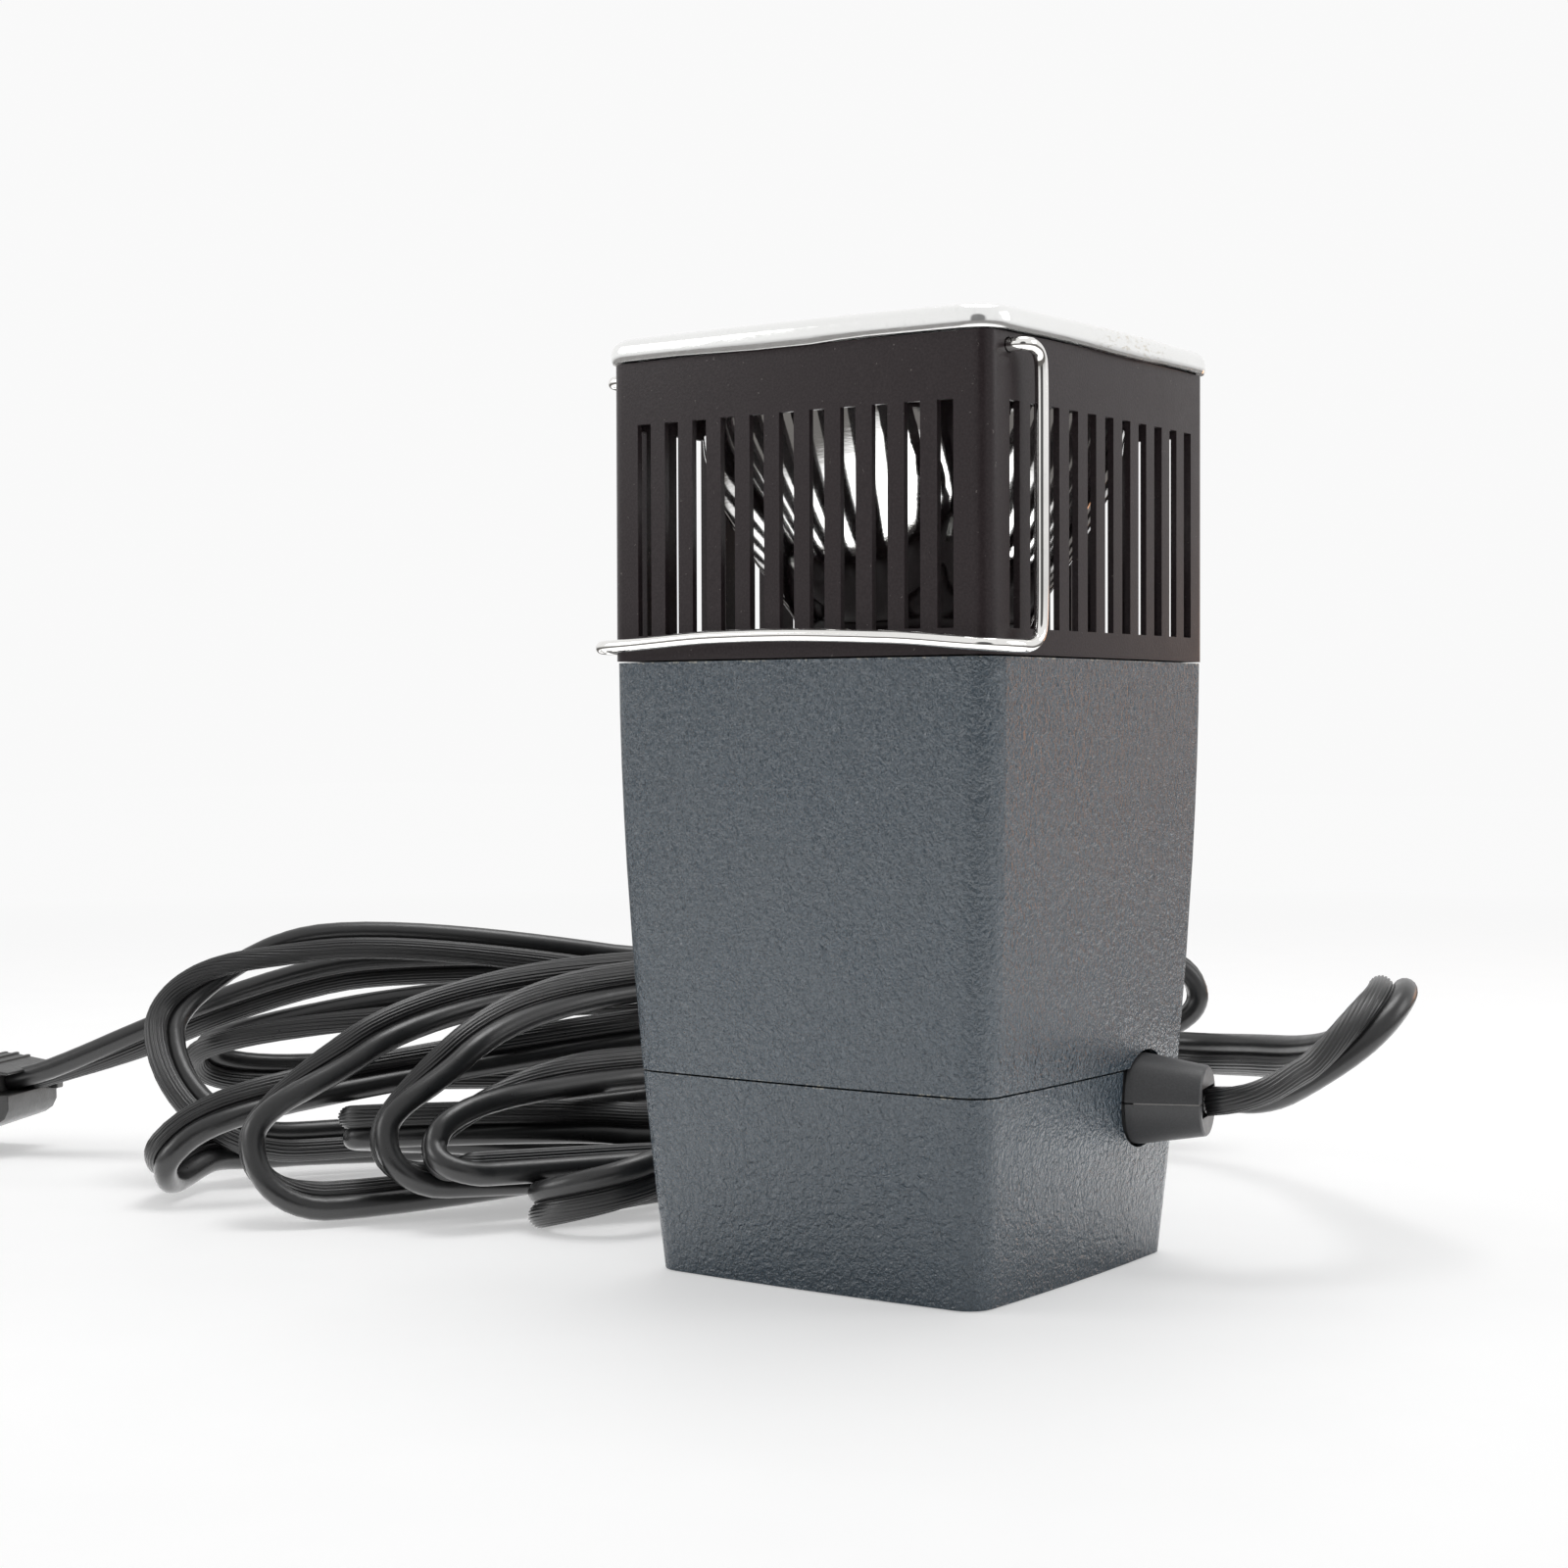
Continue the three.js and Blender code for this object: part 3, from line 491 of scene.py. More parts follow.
# Each knot: where the lead's middle is, the handle that leaves it, and the way from its smooth core to its
# ribbed core (None where the lead is free to lie as it likes). Millimetres.
LEAD_KNOTS = [
    ((47.5, 21.6, 29.3), (5.5, 1.2, 0.6), (0.24, -0.97, 0)),
    ((58.9, 31.5, 32.4), (3.3, 8.5, 2.8), (0.35, -0.67, 0.65)),
    ((66.4, 56.7, 46.6), (-4.7, 12.7, 1.1), (-0.71, -0.69, 0.1)),
    ((48, 82.5, 34.3), (-10.4, 9.7, -4.3), (0.08, -0.85, -0.53)),
    ((17.1, 112.6, 25.8), (-14.2, 9.1, -1.3), (0.23, -0.33, -0.91)),
    ((-24.4, 125.9, 23.7), (-16.8, -7.5, 1.7), (0, 0, -1)),
    ((-63.9, 80.9, 17.5), (-3.5, -27, 1.4), None),
    ((-54.4, -7.4, 10.8), (-1.9, -9.9, -1.9), (0, 0, -1)),
    ((-73.7, -16.2, 4.6), (-3.9, 4.6, -1.3), (0, 0, -1)),
    ((-71.9, 8.1, 5.1), (2.6, 9.1, 0.5), (0, 0, -1)),
    ((-60.2, 35, 11.1), (3, -3, 6.5), None),
    ((-84.2, 22.1, 14.4), (-9.3, -5.3, 0.9), (0.11, -0.16, 0.98)),
    ((-127.6, -11.2, 14), (-4.6, 4.1, -1.1), (-0.16, -0.11, 0.98)),
    ((-125.1, 12.5, 10.4), (6.7, 10.8, -1.2), (0, 0, 1)),
    ((-57.3, 83.5, 8), (8, 11, 9), None),
    ((-55.2, 89.1, 23.4), (-7.6, -5.2, 1.8), None),
    ((-87.7, 23, 25), (-2, -20, 0.6), (-0.4, 0.25, 0.88)),
    ((-92.8, -24.2, 16.2), (0.4, -1.6, -4.6), (-0.73, 0.68, 0.05)),
    ((-83.3, -21.6, 11.2), (2.5, 6.7, -0.3), (-0.56, 0.79, 0.25)),
    ((-35.6, 85.6, 7.8), (-4, 32.3, -3.7), None),
    ((-51.7, 100.1, 38.6), (-17.3, -13.8, 2.5), None),
    ((-93.7, 36.8, 41.4), (-6.9, -21.5, -1.4), (-0.08, -0.06, 1)),
    ((-99.6, -11.8, 30.3), (-2.1, -9, -6.5), (-0.77, 0.39, 0.51)),
    ((-103.5, -27.1, 16.3), (1.3, -1.7, -4.6), (-0.79, 0.61, 0.05)),
    ((-94.1, -20.8, 8), (3.2, 7.1, -0.3), (-0.53, 0.75, 0.4)),
    ((-47.5, 99.7, 8.6), (6.9, 35.6, 6.4), None),
    ((-56.9, 109.5, 39.7), (-12.2, -17.2, 3.6), None),
    ((-104.3, 42.9, 42.1), (-5.2, -22.5, -0.1), (-0.08, -0.06, 1)),
    ((-117.2, -19.3, 32.2), (-4.1, -10.4, -6.5), (-0.78, 0.02, 0.62)),
    ((-125, -41.1, 15.1), (1.5, -1.5, -5.9), (-0.79, 0.61, 0.05)),
    ((-111.5, -35.5, 4.3), (5, 7.1, -0.6), (-0.5, 0.7, 0.51)),
    ((-61.1, 66.4, 12), (13.5, 21.8, 6.3), None),
    ((-63, 69.5, 26.2), (-8.9, -10.3, 3.6), None),
    ((-96.9, 39.1, 30.7), (-17.9, -11.1, -3.1), (-0.08, -0.06, 1)),
    ((-138.5, -19.9, 21.1), (-5.2, -11.1, -1.9), (-0.48, 0.16, 0.86)),
    ((-149.6, -37.7, 13.5), (-1.9, -2.6, -2.8), (-0.77, 0.22, 0.6)),
    ((-155, -36.8, 6.4), (-3, 3.9, -2.6), (-0.77, 0.22, 0.6)),
    ((-161.4, -21.8, 6.4), (-0.8, 5.6, 1.2), (-0.72, 0.23, 0.65)),
    ((-158.4, 2.2, 6), (4.1, 12.2, -0.2), (-0.17, 0.25, 0.95)),
    ((-65.6, 116, 10.1), (7, 10, 7), None),
    ((-60.3, 124.8, 32.6), (-14.2, -15, 5.5), None),
    ((-131.5, 44.8, 35.5), (-11.9, -20.2, 0.6), (0.2, -0.29, -0.93)),
    ((-185, 1.2, 24.6), (-4.1, 3.1, -4.5), (0.29, -0.94, -0.15)),
    ((-172.6, 25.6, 18.1), (11.8, 13.6, 0.5), (0.26, -0.37, -0.89)),
    ((-34.9, 134.4, 21.2), (8.9, 7.5, 3.2), None),
    ((-18.2, 148.4, 33.5), (-0.1, 0.1, 6), (-0.49, 0.87, 0)),
    ((-39.8, 132, 45.1), (-15.8, -11.5, 0.1), None),
    ((-117, 58.9, 42.9), (-14.2, -17.1, 3.7), (0.35, -0.49, -0.8)),
    ((-163.3, 17.2, 48.2), (-11.5, -9.4, -1.4), (0.29, -0.59, -0.76)),
    ((-180.1, -13.5, 30), (6.4, -5.5, -9.4), (-0.17, -0.99, 0)),
    ((-153.2, -4.5, 8.1), (4.5, 16.6, -1.7), (0.41, -0.58, -0.71)),
    ((-73.8, 109.9, 18.9), (11.4, 23.2, 6.4), None),
    ((-84.2, 111.7, 34), (-9.5, -8.5, 4.4), None),
    ((-124, 75.5, 40.9), (-16.2, -14.3, 0.5), (-0.26, 0.37, -0.89)),
    ((-169.4, 32.2, 40.4), (-10, -8.3, -1.6), (-0.26, 0.37, -0.89)),
    ((-200.9, 8.5, 28.5), (-6.8, -4.9, -3.5), (-0.17, 0.43, -0.89)),
    ((-228.4, -8.2, 16.9), (-5, -2.1, -1.2), (-0.35, 0.88, -0.25)),
    ((-233.2, -10.1, 16.3), (-1, -0.4, 0), (-0.36, 0.92, -0.1)),
]
CORE = 2.3  # radius of each of the two cores
CORE_OFFSET = 2.15  # from the lead's middle to each core's middle
CORE_ARC = 300  # degrees of each core's outline that show
CORE_STEPS = 14
GROOVE = 0.62  # half thickness at the groove between the cores
RIBS = 18
RIB_CREST = 0.05  # how far the ribs stand out from the core
RIB_DEPTH = 0.3
# Points along one rib: share of its width, and depth under its crest.
RIB_OUTLINE = ((0.0, RIB_DEPTH), (0.3, 0.02), (0.5, 0.0), (0.7, 0.02))
SAMPLE_STEP = 0.8
FEWEST_SAMPLES = 12  # between two knots
RING_GAP = 7  # a new ring comes after this length,
RING_BEND = 0.17  # or this bend in radians,
RING_TWIST = 0.25  # or this twist in radians, or shares of them that make one in all
FLOOR_CLEAR = 0.1


def lead_section():
    """Points round the flat twin lead as (towards the ribbed core, across), in millimetres."""
    points = []
    for i in range(CORE_STEPS + 1):
        angle = math.radians(180 - CORE_ARC / 2 + CORE_ARC * i / CORE_STEPS)
        points.append((-CORE_OFFSET + CORE * math.cos(angle), CORE * math.sin(angle)))
    points.append((0, -GROOVE))
    pitch = CORE_ARC / RIBS
    for i in range(RIBS):
        for share, depth in RIB_OUTLINE:
            angle = math.radians(-CORE_ARC / 2 + pitch * (i + share))
            radius = CORE + RIB_CREST - depth
            points.append((CORE_OFFSET + radius * math.cos(angle), radius * math.sin(angle)))
    points.append((0, GROOVE))
    return points


def lead_samples():
    """Fine steps along the lead: middle, way and distance, and the step number at each knot."""
    middles, ways, at_knot = [], [], [0]
    for (start_place, leave, _), (end_place, arrive, _) in zip(LEAD_KNOTS, LEAD_KNOTS[1:]):
        p0, p3 = Vector(start_place), Vector(end_place)
        p1, p2 = p0 + Vector(leave), p3 - Vector(arrive)
        count = max(FEWEST_SAMPLES, round((p3 - p0).length / SAMPLE_STEP))
        for i in range(count):
            t = i / count
            u = 1 - t
            middles.append(u ** 3 * p0 + 3 * u * u * t * p1 + 3 * u * t * t * p2 + t ** 3 * p3)
            ways.append((u * u * (p1 - p0) + 2 * u * t * (p2 - p1) + t * t * (p3 - p2)).normalized())
        at_knot.append(len(middles))
    middles.append(Vector(LEAD_KNOTS[-1][0]))
    ways.append(Vector(LEAD_KNOTS[-1][1]).normalized())
    distances = [0.0]
    for before, after in zip(middles, middles[1:]):
        distances.append(distances[-1] + (after - before).length)
    return middles, ways, distances, at_knot


def square_to(vector, way):
    """The part of a vector that is square to a way of length one."""
    return vector - way * vector.dot(way)


def mirrored(vector, across):
    """A vector mirrored in the plane that is square to across."""
    return vector - across * (2 / across.length_squared * across.dot(vector))


def untwisted_sides(middles, ways):
    """A sideways way at each step that turns as little as it can about the lead."""
    side = square_to(Vector(LEAD_KNOTS[0][2]), ways[0]).normalized()
    sides = [side]
    for i in range(len(middles) - 1):
        step = middles[i + 1] - middles[i]
        side = mirrored(side, step)
        change = ways[i + 1] - mirrored(ways[i], step)
        if change.length_squared > 1e-12:
            side = mirrored(side, change)
        side = square_to(side, ways[i + 1]).normalized()
        sides.append(side)
    return sides


def twist_angles(ways, sides, distances, at_knot):
    """The lead's turn from its untwisted side at each step, so each knot's ribbed core faces as asked."""
    marks = []
    for (_, _, wanted), i in zip(LEAD_KNOTS, at_knot):
        if wanted is None:
            continue
        wanted = square_to(Vector(wanted), ways[i])
        angle = math.atan2(wanted.dot(ways[i].cross(sides[i])), wanted.dot(sides[i]))
        if marks:
            angle += 2 * math.pi * round((marks[-1][1] - angle) / (2 * math.pi))
        marks.append((distances[i], angle))
    angles = []
    k = 0
    for distance in distances:
        while k < len(marks) - 2 and distance > marks[k + 1][0]:
            k += 1
        (d0, a0), (d1, a1) = marks[k], marks[k + 1]
        t = min(1.0, max(0.0, (distance - d0) / (d1 - d0)))
        angles.append(a0 + (a1 - a0) * t * t * (3 - 2 * t))
    return angles


def lead_rings():
    """Middle, ribbed way and cross way of each ring: closer together where the lead bends or twists."""
    middles, ways, distances, at_knot = lead_samples()
    sides = untwisted_sides(middles, ways)
    angles = twist_angles(ways, sides, distances, at_knot)
    rings, last, spent = [], 0, 0.0
    for i, (middle, way, side, angle) in enumerate(zip(middles, ways, sides, angles)):
        if i:
            spent += (distances[i] - distances[i - 1]) / RING_GAP
            spent += ways[i - 1].angle(way) / RING_BEND
            spent += abs(angle - angles[i - 1]) / RING_TWIST
        if i == 0 or spent - last >= 1 or i == len(middles) - 1:
            last = spent
            ribbed = side * math.cos(angle) + way.cross(side) * math.sin(angle)
            lowest = middle.z - abs(ribbed.z) * CORE_OFFSET - CORE
            middle = middle + Vector((0, 0, max(0.0, FLOOR_CLEAR - lowest)))
            rings.append((middle, ribbed, way.cross(ribbed)))
    return rings


def make_lead():
    """The lead's piece, and the path that its middle follows."""
    section = lead_section()
    rings = lead_rings()
    points = []
    for middle, ribbed, across in rings:
        points += [(middle + ribbed * a + across * b) * MM for a, b in section]
    count = len(section)
    faces = []
    for i in range(len(rings) - 1):
        low, high = i * count, (i + 1) * count
        faces += [(low + j, low + (j + 1) % count, high + (j + 1) % count, high + j) for j in range(count)]
    faces.append(tuple(reversed(range(count))))
    faces.append(tuple(range(len(points) - count, len(points))))
    mesh = bpy.data.meshes.new("mains_lead")
    mesh.from_pydata([tuple(point) for point in points], [], faces)
    mesh.polygons.foreach_set("use_smooth", [True] * len(faces))
    made = bpy.data.objects.new("mains_lead", mesh)
    scene.collection.objects.link(made)
    return made, [tuple(middle * MM) for middle, _, _ in rings]


lead, lead_path = make_lead()
lead.data.materials.append(sheath)
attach(lead, "lamp")
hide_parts("cord_arch", "cord_hank", "cord_tail")
lead_pieces = [plug(), nodes["plug_blade_1"], nodes["plug_blade_2"]]


# ---------------------------------------------------------------- the lamp's own pieces

# Everything in this part is in millimetres and degrees.
WIRE_EXTRA = 0.26  # added to the wire all round
BAR_BOW, BAR_BOW_REACH = 0.7, 22
EAR_OUT, EAR_REACH = 1.3, 9

RIM_HALF = 39.95  # half width of the square that the rim starts from
RIM_CORNER = 6.0
RIM_CORNER_STEPS, RIM_SIDE_CUTS = 16, 11
RIM_CROWN = 0.08  # share by which its sides swell towards a circle
RIM_PROFILE = [  # half width and height, from the lip up over the roll and down the pane's channel
    (39.3, 158.0), (39.58, 157.92), (39.72, 158.3), (39.78, 158.9), (39.78, 159.6), (39.7, 160.2),
    (39.52, 160.75), (39.24, 161.2), (38.85, 161.56), (38.4, 161.8), (37.85, 161.94), (37.0, 162.0),
    (35.7, 161.95), (35.15, 161.7), (34.9, 161.3), (34.9, 160.7), (38.5, 160.7), (38.5, 158.0),
]
LEVEL = 0.04  # points whose heights differ by less are on one level
LIP_TOP = 158.5
LIP_OUT = 38.6  # the lip's points lie further out than this
LIP_REACHES = (19, 13, 8)  # half lengths of the stretches that droop, each by one step more
LIP_FRONT_MIDDLE, LIP_FRONT_STEP = -2, 0.15  # the droop's place in X, on the front side
LIP_RIGHT_MIDDLE, LIP_RIGHT_STEP = 4, 0.12  # and in Y, on the +X side

BOWL_RINGS = [  # outer half width, height, and how strongly the cast squares the ring, from 0 to 1
    (10.0, 106.7, 0), (10.6, 108.0, 0), (12.6, 108.4, 0), (15.0, 108.9, 0), (18.2, 110.6, 0),
    (20.2, 111.9, 0), (20.8, 112.6, 0), (21.1, 113.4, 0), (21.5, 114.3, 0), (22.3, 115.6, 0.01),
    (23.4, 117.2, 0.02), (24.6, 119.2, 0.04), (25.9, 121.4, 0.07), (27.3, 123.8, 0.11),
    (28.6, 126.6, 0.15), (29.9, 129.6, 0.20), (31.1, 132.8, 0.25), (32.2, 136.0, 0.30),
    (33.2, 139.4, 0.36), (34.0, 142.8, 0.43), (34.8, 146.4, 0.51), (35.4, 150.0, 0.60),
    (35.9, 153.6, 0.68), (36.2, 157.0, 0.74),
]
BOWL_SIDES = 144
BOWL_START = 36.0  # radius of the circle that it starts from
BOWL_STEP = 0.001  # between its rings until each is sent to its height
BOWL_SHEET = 0.7

RELIEF_PLACE = (36, 18.7, 29.3)  # where the strain relief's axis begins
RELIEF_LEAN = 14  # from +X towards +Y
FLASH_LENGTH = 11.2
FLASH_WIDTH = 3.1
FLASH_THICK = 0.2
FLASH_OUT = 6.55  # from the strain relief's axis to the flash's middle
FLASH_TAPER = 1.83  # how much nearer the axis its outer end is


def bail():
    """The wire bail: full wire thickness, a front bar that bows up, and a left ear that stands out."""
    piece = merged_copy("bail_wire", "bail_wire_finished")
    bpy.ops.mesh.tris_convert_to_quads()
    apply(piece, "SUBSURF", levels=2, render_levels=2)
    begin(piece)
    bpy.ops.transform.shrink_fatten(value=WIRE_EXTRA * MM)
    select_where(piece, lambda x, y, z: z < 113 and -14 < x < 22 and y < -38)  # the bar's middle stretch
    drag(0, 0, BAR_BOW, BAR_BOW_REACH)
    select_where(piece, lambda x, y, z: z > 153 and x < -40.3)  # the left ear
    drag(-EAR_OUT, 0, 0, EAR_REACH)
    return finish_piece(piece, "bail", wire_chrome, ["bail_wire"], 60)


def rim_ring():
    """The bright rim: a rounded square ring, rolled over at its outer edge, with a channel for the pane."""
    piece = start("bright_rim", bpy.ops.mesh.primitive_plane_add, size=2 * RIM_HALF * MM)
    bpy.ops.mesh.bevel(
        offset=RIM_CORNER * MM, offset_type="OFFSET", segments=RIM_CORNER_STEPS, affect="VERTICES"
    )
    bpy.ops.mesh.delete(type="ONLY_FACE")
    bpy.ops.object.mode_set(mode="OBJECT")
    for edge in piece.data.edges:
        ends = [piece.data.vertices[i].co for i in edge.vertices]
        edge.select = (ends[0] - ends[1]).length > RIM_HALF / 2 * MM
    for vertex in piece.data.vertices:
        vertex.select = False
    bpy.ops.object.mode_set(mode="EDIT")
    bpy.ops.mesh.select_mode(type="EDGE")
    bpy.ops.mesh.subdivide(number_cuts=RIM_SIDE_CUTS)
    bpy.ops.mesh.select_mode(type="VERT")
    bpy.ops.mesh.select_all(action="SELECT")
    bpy.ops.transform.tosphere(value=RIM_CROWN)
    widest = max(size for size, _ in RIM_PROFILE)
    size_before, height_before = RIM_PROFILE[0]
    bpy.ops.transform.resize(value=(size_before / widest, size_before / widest, 1))
    move(0, 0, height_before)
    for size, height in RIM_PROFILE[1:]:
        rise = (height - height_before) * MM
        bpy.ops.mesh.extrude_edges_move(TRANSFORM_OT_translate={"value": (0, 0, rise)})
        share = size / size_before
        bpy.ops.transform.resize(value=(share, share, 1), center_override=(0, 0, height * MM))
        size_before, height_before = size, height
    foot = RIM_PROFILE[0][1]
    select_where(piece, lambda x, y, z: abs(z - foot) < LEVEL)  # the first ring and the last
    bpy.ops.mesh.bridge_edge_loops()
    for reach in LIP_REACHES:
        select_where(
            piece, lambda x, y, z: z < LIP_TOP and y < -LIP_OUT and abs(x - LIP_FRONT_MIDDLE) < reach
        )
        move(0, 0, -LIP_FRONT_STEP)
        select_where(
            piece, lambda x, y, z: z < LIP_TOP and x > LIP_OUT and abs(y - LIP_RIGHT_MIDDLE) < reach
        )
        move(0, 0, -LIP_RIGHT_STEP)
    bpy.ops.mesh.select_all(action="SELECT")
    bpy.ops.mesh.normals_make_consistent(inside=False)
    return finish_piece(piece, "lamp", rim_chrome, ["bezel"], 40)


def bowl():
    """The mirror bowl: round at its neck, squarest a little over half way up, and round again at its mouth.

    The cast weighs a ring's height too, so from the 18th ring up it squares the corners less and less.
    """
    circle = bpy.ops.mesh.primitive_circle_add
    piece = start("mirror_bowl", circle, vertices=BOWL_SIDES, radius=BOWL_START * MM)
    for _ in BOWL_RINGS[1:]:
        bpy.ops.mesh.extrude_edges_move(TRANSFORM_OT_translate={"value": (0, 0, BOWL_STEP * MM)})
    bpy.ops.object.mode_set(mode="OBJECT")
    squareness = piece.vertex_groups.new(name="squareness")
    for vertex in piece.data.vertices:
        ring = round(vertex.co.z / (BOWL_STEP * MM))
        squareness.add([vertex.index], BOWL_RINGS[ring][2], "REPLACE")
    apply(piece, "CAST", cast_type="CUBOID", factor=1.0, use_z=False, vertex_group="squareness")
    bpy.ops.object.mode_set(mode="EDIT")
    for i in reversed(range(len(BOWL_RINGS))):
        size, height, _ = BOWL_RINGS[i]
        level = i * BOWL_STEP
        share = size / BOWL_START
        select_where(piece, lambda x, y, z: abs(z - level) < BOWL_STEP / 2)
        bpy.ops.transform.resize(value=(share, share, 1), center_override=(0, 0, level * MM))
        move(0, 0, height - level)
    bpy.ops.mesh.select_all(action="SELECT")
    bpy.ops.mesh.normals_make_consistent(inside=False)
    bpy.ops.object.mode_set(mode="OBJECT")
    piece.vertex_groups.clear()
    apply(piece, "SOLIDIFY", thickness=BOWL_SHEET * MM, offset=-1)
    return finish_piece(piece, "lamp", mirror, ["reflector"], 60)


def relief_flash(name, side):
    """The thin line of moulding flash along one side of the strain relief, where its two halves meet."""
    piece = start(name, bpy.ops.mesh.primitive_cube_add, size=1)
    middle = side * FLASH_OUT
    low = (0, middle - FLASH_WIDTH / 2, -FLASH_THICK / 2)
    high = (FLASH_LENGTH, middle + FLASH_WIDTH / 2, FLASH_THICK / 2)
    size_block(low, high)
    select_where(piece, lambda x, y, z: x > FLASH_LENGTH / 2)
    move(0, -side * FLASH_TAPER, 0)
    bpy.ops.mesh.select_all(action="SELECT")
    turn(math.radians(RELIEF_LEAN))
    move(*RELIEF_PLACE)
    bpy.ops.mesh.normals_make_consistent(inside=False)
    return finish_piece(piece, "lamp", flash, None)


refined("base_cup", paint, 0.25, 3, smooth=25)
refined("body_shell", paint, 0.25, 3, smooth=25)
refined("vent_cage", satin, 0.14, 2, smooth=25)
bail()
refined("strain_relief_upper", rubber, 0.08, 2)
refined("strain_relief_lower", rubber, 0.08, 2)
refined("switch_frame", rubber, 0.2, 2)
refined("switch_rocker", rubber, 0.3, 3, body="rocker")
relief_flash("relief_flash_back", 1)
relief_flash("relief_flash_front", -1)
rim_ring()
bowl()


# ---------------------------------------------------------------- carried-over nodes

CARRIED_OVER = (
    (satin, ["deck_plate"]),
    (rubber, ["glass_gasket"]),
    (glass, ["front_glass", "lamp_envelope"]),
    (ceramic, ["lamp_holder", "lamp_base", "terminal_block"]),
    (fibre, ["insulating_board"]),
    (sheath, ["cord_inner", "lead_line", "lead_switched"]),
    (white_wire, ["lead_neutral"]),
    (brass, ["plug_blade_1", "plug_blade_2"]),
    (steel, ["holder_bracket", "lamp_filament", "bail_collar_left", "bail_collar_right"]),
    (steel, [f"{place}_screw_{i}" for place in ("base", "deck") for i in range(1, 5)]),
)
for material, names in CARRIED_OVER:
    for name in names:
        nodes[name].data.materials.clear()
        nodes[name].data.materials.append(material)


# ---------------------------------------------------------------- studio

WHITE = (1, 1, 1)
FLOOR_SIZE = 6
FLOOR_DROP = 0.0002  # below the lamp's underside, so that the two never share a plane
FLOOR_TONE = 0.86
FLOOR_LIFT = (0.30, 0.40)  # tone taken away, and light added instead, where the floor is seen directly
FLOOR_WHITE = 0.953  # the plain white further off
FAR_SHEET = (0.30, 1.10)  # distances over which the sheet turns plain white
PAINTED_LIGHT_POOL = (0.04, 0.08, 1.4)  # where the floor glows in reflections only, a painted pool of light, and by how much
PAINTED_ROOM_FADE = (0.26, 0.46)  # where that painted pool gives way to a painted reflection of a dim room
# painted reflection: the dim room's tone and glow, put on the floor for reflections only
PAINTED_ROOM_TONE, PAINTED_ROOM_GLOW = (1.0, 0.95, 0.91), 0.17
BEHIND_CAMERA = (0.53, -0.84, 0.10)
DARK_WALL = (0.90, 0.95, 1.0, 0.10)  # cosines from that way between which the room dims, and how far
LOW_ROOM = (-0.02, 0.10, 0.6, 1.0)  # the same from low down to higher up
SKY_SEEN = 0.95  # strength behind the lamp and through its glass
SKY_LIGHT = 0.52  # strength of the light that it gives


def studio_floor():
    """Pale sheet: it takes soft shadows near the lamp and runs out to plain white further off; in reflections
    it glows with painted light.
    """
    f = Finish("studio_floor")
    rays = f.node("ShaderNodeLightPath").outputs
    seen, mirrored_ray = rays["Is Camera Ray"], rays["Is Glossy Ray"]
    reach = f.node("ShaderNodeVectorMath", operation="LENGTH")
    f.put(reach.inputs[0], f.place)
    distance = reach.outputs["Value"]

    grain = f.span(f.noise(40), 0.3, 0.7, FLOOR_TONE - 0.005, FLOOR_TONE + 0.005)
    tone = f.calc("SUBTRACT", grain, f.calc("MULTIPLY", seen, FLOOR_LIFT[0]))
    shade = f.node("ShaderNodeCombineColor")
    for channel in shade.inputs:
        f.put(channel, tone)
    f.set(Base_Color=shade.outputs[0], Roughness=0.6, Specular_IOR_Level=0.1)

    # painted light: in reflections only, the floor glows brighter near the lamp, a painted pool of light
    start_pool, end_pool, pool_light = PAINTED_LIGHT_POOL
    painted_pool = f.calc("MULTIPLY", mirrored_ray, f.span(distance, start_pool, end_pool, 0, pool_light))
    lift = f.glow(WHITE, f.calc("ADD", f.calc("MULTIPLY", seen, FLOOR_LIFT[1]), painted_pool))
    near = f.node("ShaderNodeAddShader")
    f.put(near.inputs[0], f.shader.outputs[0])
    f.put(near.inputs[1], lift)
    far = f.calc("MULTIPLY", f.span(distance, *FAR_SHEET), seen)
    sheet = f.mix_shaders(far, near.outputs[0], f.glow(WHITE, FLOOR_WHITE))
    # painted reflection: further off, in reflections only, the floor glows as a dim warm room
    end = f.calc("MULTIPLY", f.span(distance, *PAINTED_ROOM_FADE), mirrored_ray)
    whole = f.mix_shaders(end, sheet, f.glow(PAINTED_ROOM_TONE, PAINTED_ROOM_GLOW))
    f.put(f.tree.nodes["Material Output"].inputs["Surface"], whole)
    return f.material


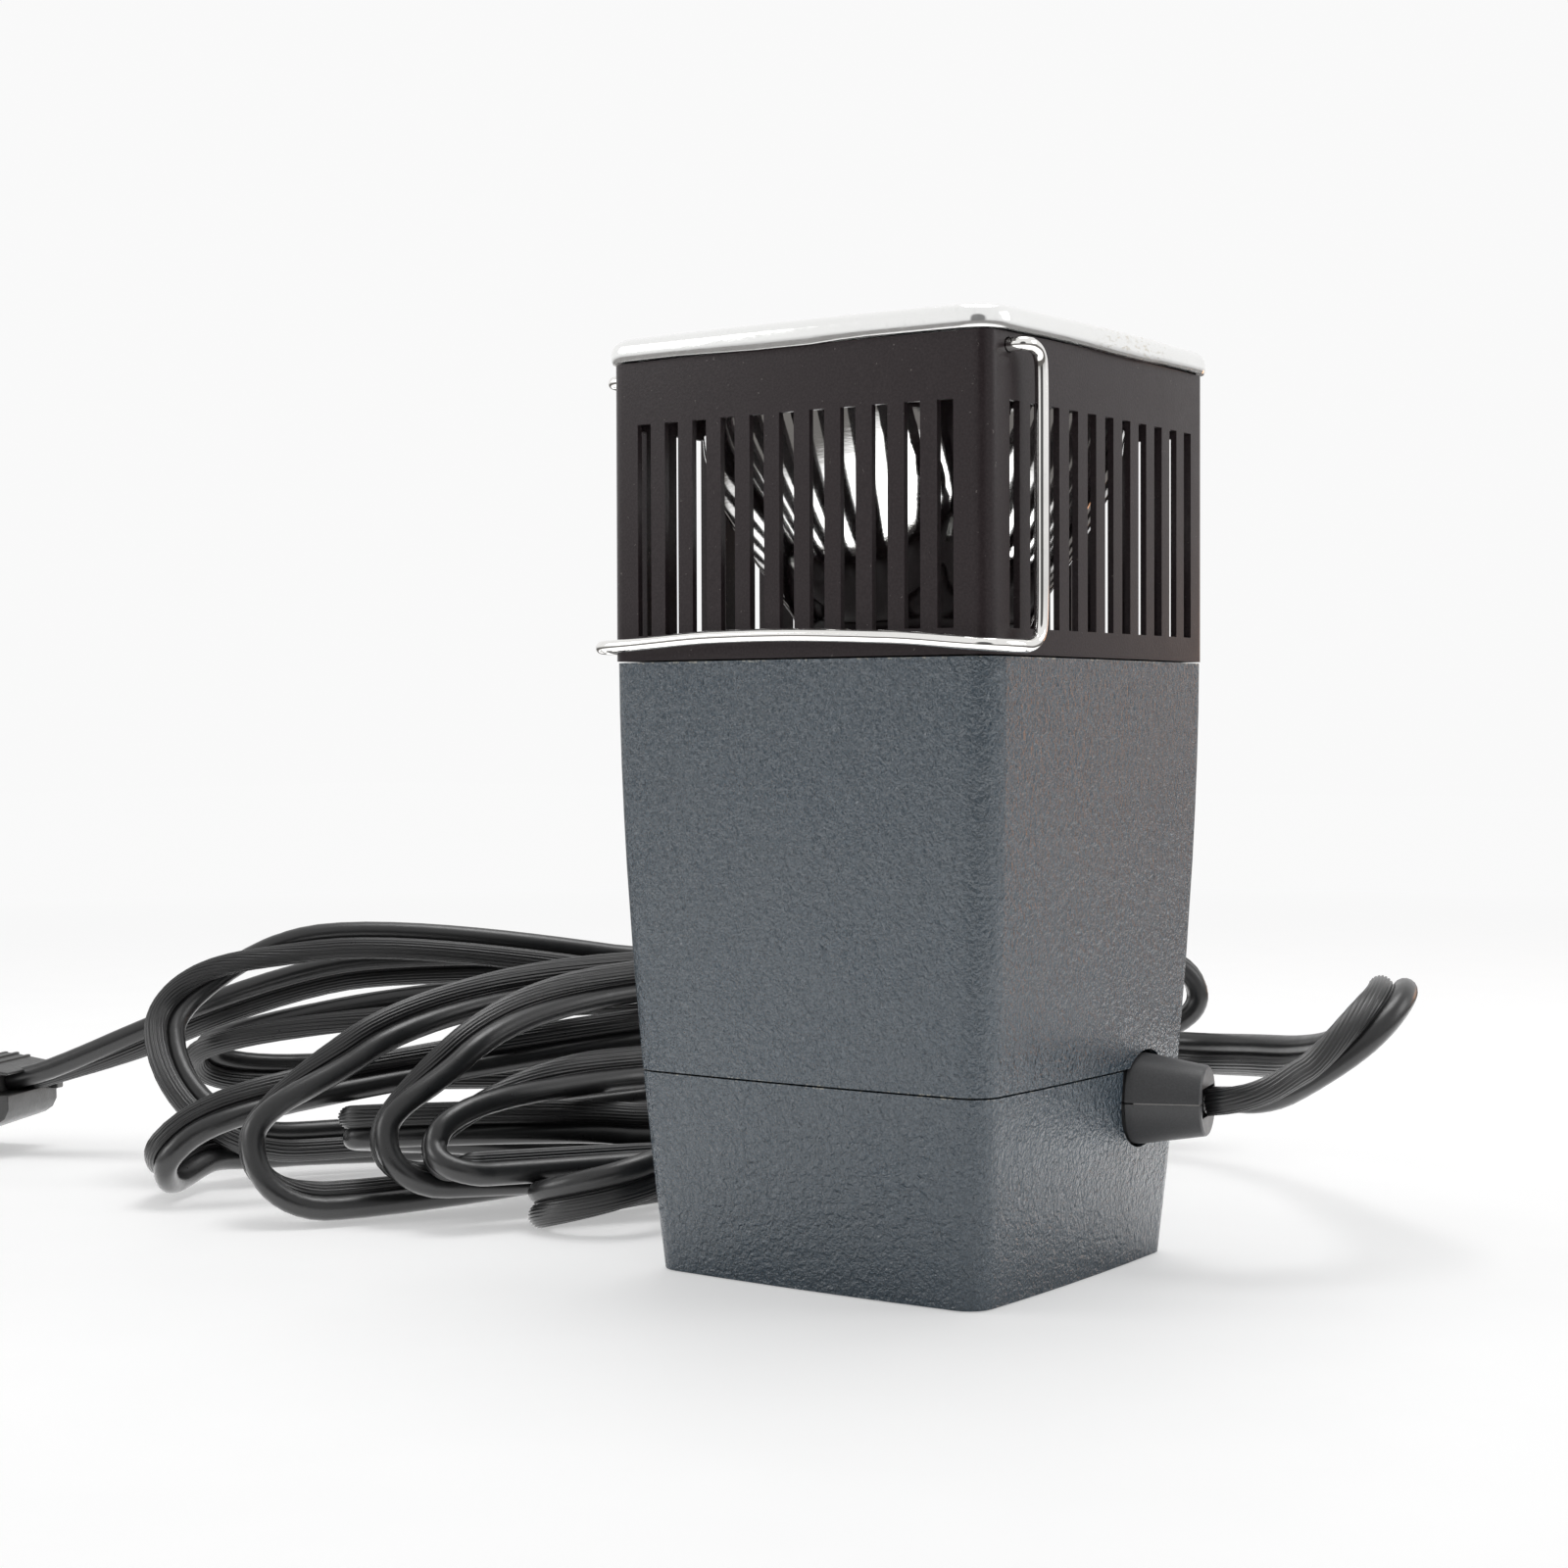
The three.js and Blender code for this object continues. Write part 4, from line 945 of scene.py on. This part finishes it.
def studio_world():
    """White room: plain white behind the lamp, dimmer for the light it gives, and dark behind the camera."""
    world = bpy.data.worlds.new("studio_world")
    scene.world = world
    world.use_nodes = True
    w = NodeSet(world.node_tree, "Generated")
    rays = w.node("ShaderNodeLightPath").outputs
    seen, mirrored_ray, through = rays["Is Camera Ray"], rays["Is Glossy Ray"], rays["Is Transmission Ray"]
    toward = w.node("ShaderNodeVectorMath", operation="DOT_PRODUCT")
    w.put(toward.inputs[0], w.place)
    w.put(toward.inputs[1], BEHIND_CAMERA)
    dark_wall = w.span(toward.outputs["Value"], *DARK_WALL)
    low_room = w.span(w.axis("Z"), *LOW_ROOM)
    in_metal = w.calc("MULTIPLY", mirrored_ray, w.calc("MULTIPLY", dark_wall, low_room))
    plain = w.calc("MAXIMUM", seen, through)
    shown = w.calc("MAXIMUM", in_metal, w.calc("MULTIPLY", plain, SKY_SEEN))
    other = w.calc("SUBTRACT", 1.0, w.calc("MAXIMUM", plain, mirrored_ray))
    sky = w.tree.nodes["Background"]
    w.put(sky.inputs["Color"], WHITE)
    w.put(sky.inputs["Strength"], w.calc("ADD", shown, w.calc("MULTIPLY", other, SKY_LIGHT)))


def softbox(name, place, target, size, power, colour=WHITE):
    """A rectangular lamp of a width and height, aimed at a target. power is in watts."""
    data = bpy.data.lights.new(name, "AREA")
    data.shape = "RECTANGLE"
    data.size, data.size_y = size
    data.energy = power
    data.color = colour
    lamp = bpy.data.objects.new(name, data)
    scene.collection.objects.link(lamp)
    aim = (Vector(target) - Vector(place)).to_track_quat("-Z", "Y")
    lamp.matrix_world = Matrix.Translation(place) @ aim.to_matrix().to_4x4()


bpy.ops.object.select_all(action="DESELECT")
bpy.ops.mesh.primitive_plane_add(size=FLOOR_SIZE, location=(0, 0, -FLOOR_DROP))
floor = bpy.context.object
floor.name = "studio_floor"
floor.data.materials.append(studio_floor())
studio_world()
softbox("overhead_soft", (-0.10, 0.25, 1.1), (0, 0, 0), (0.55, 0.55), 5.5)
softbox("right_soft", (0.75, 0.45, 0.50), (0, 0, 0.08), (0.45, 0.45), 1.95)
softbox("left_soft", (-0.85, -0.62, 0.55), (0, 0, 0.08), (0.5, 0.4), 2.4)
softbox("warm_bounce", (0.165, 0.94, 0.07), (0.04, 0.03, 0.07), (0.18, 0.18), 0.2, (1.0, 0.45, 0.18))

scene.view_settings.view_transform = "Standard"
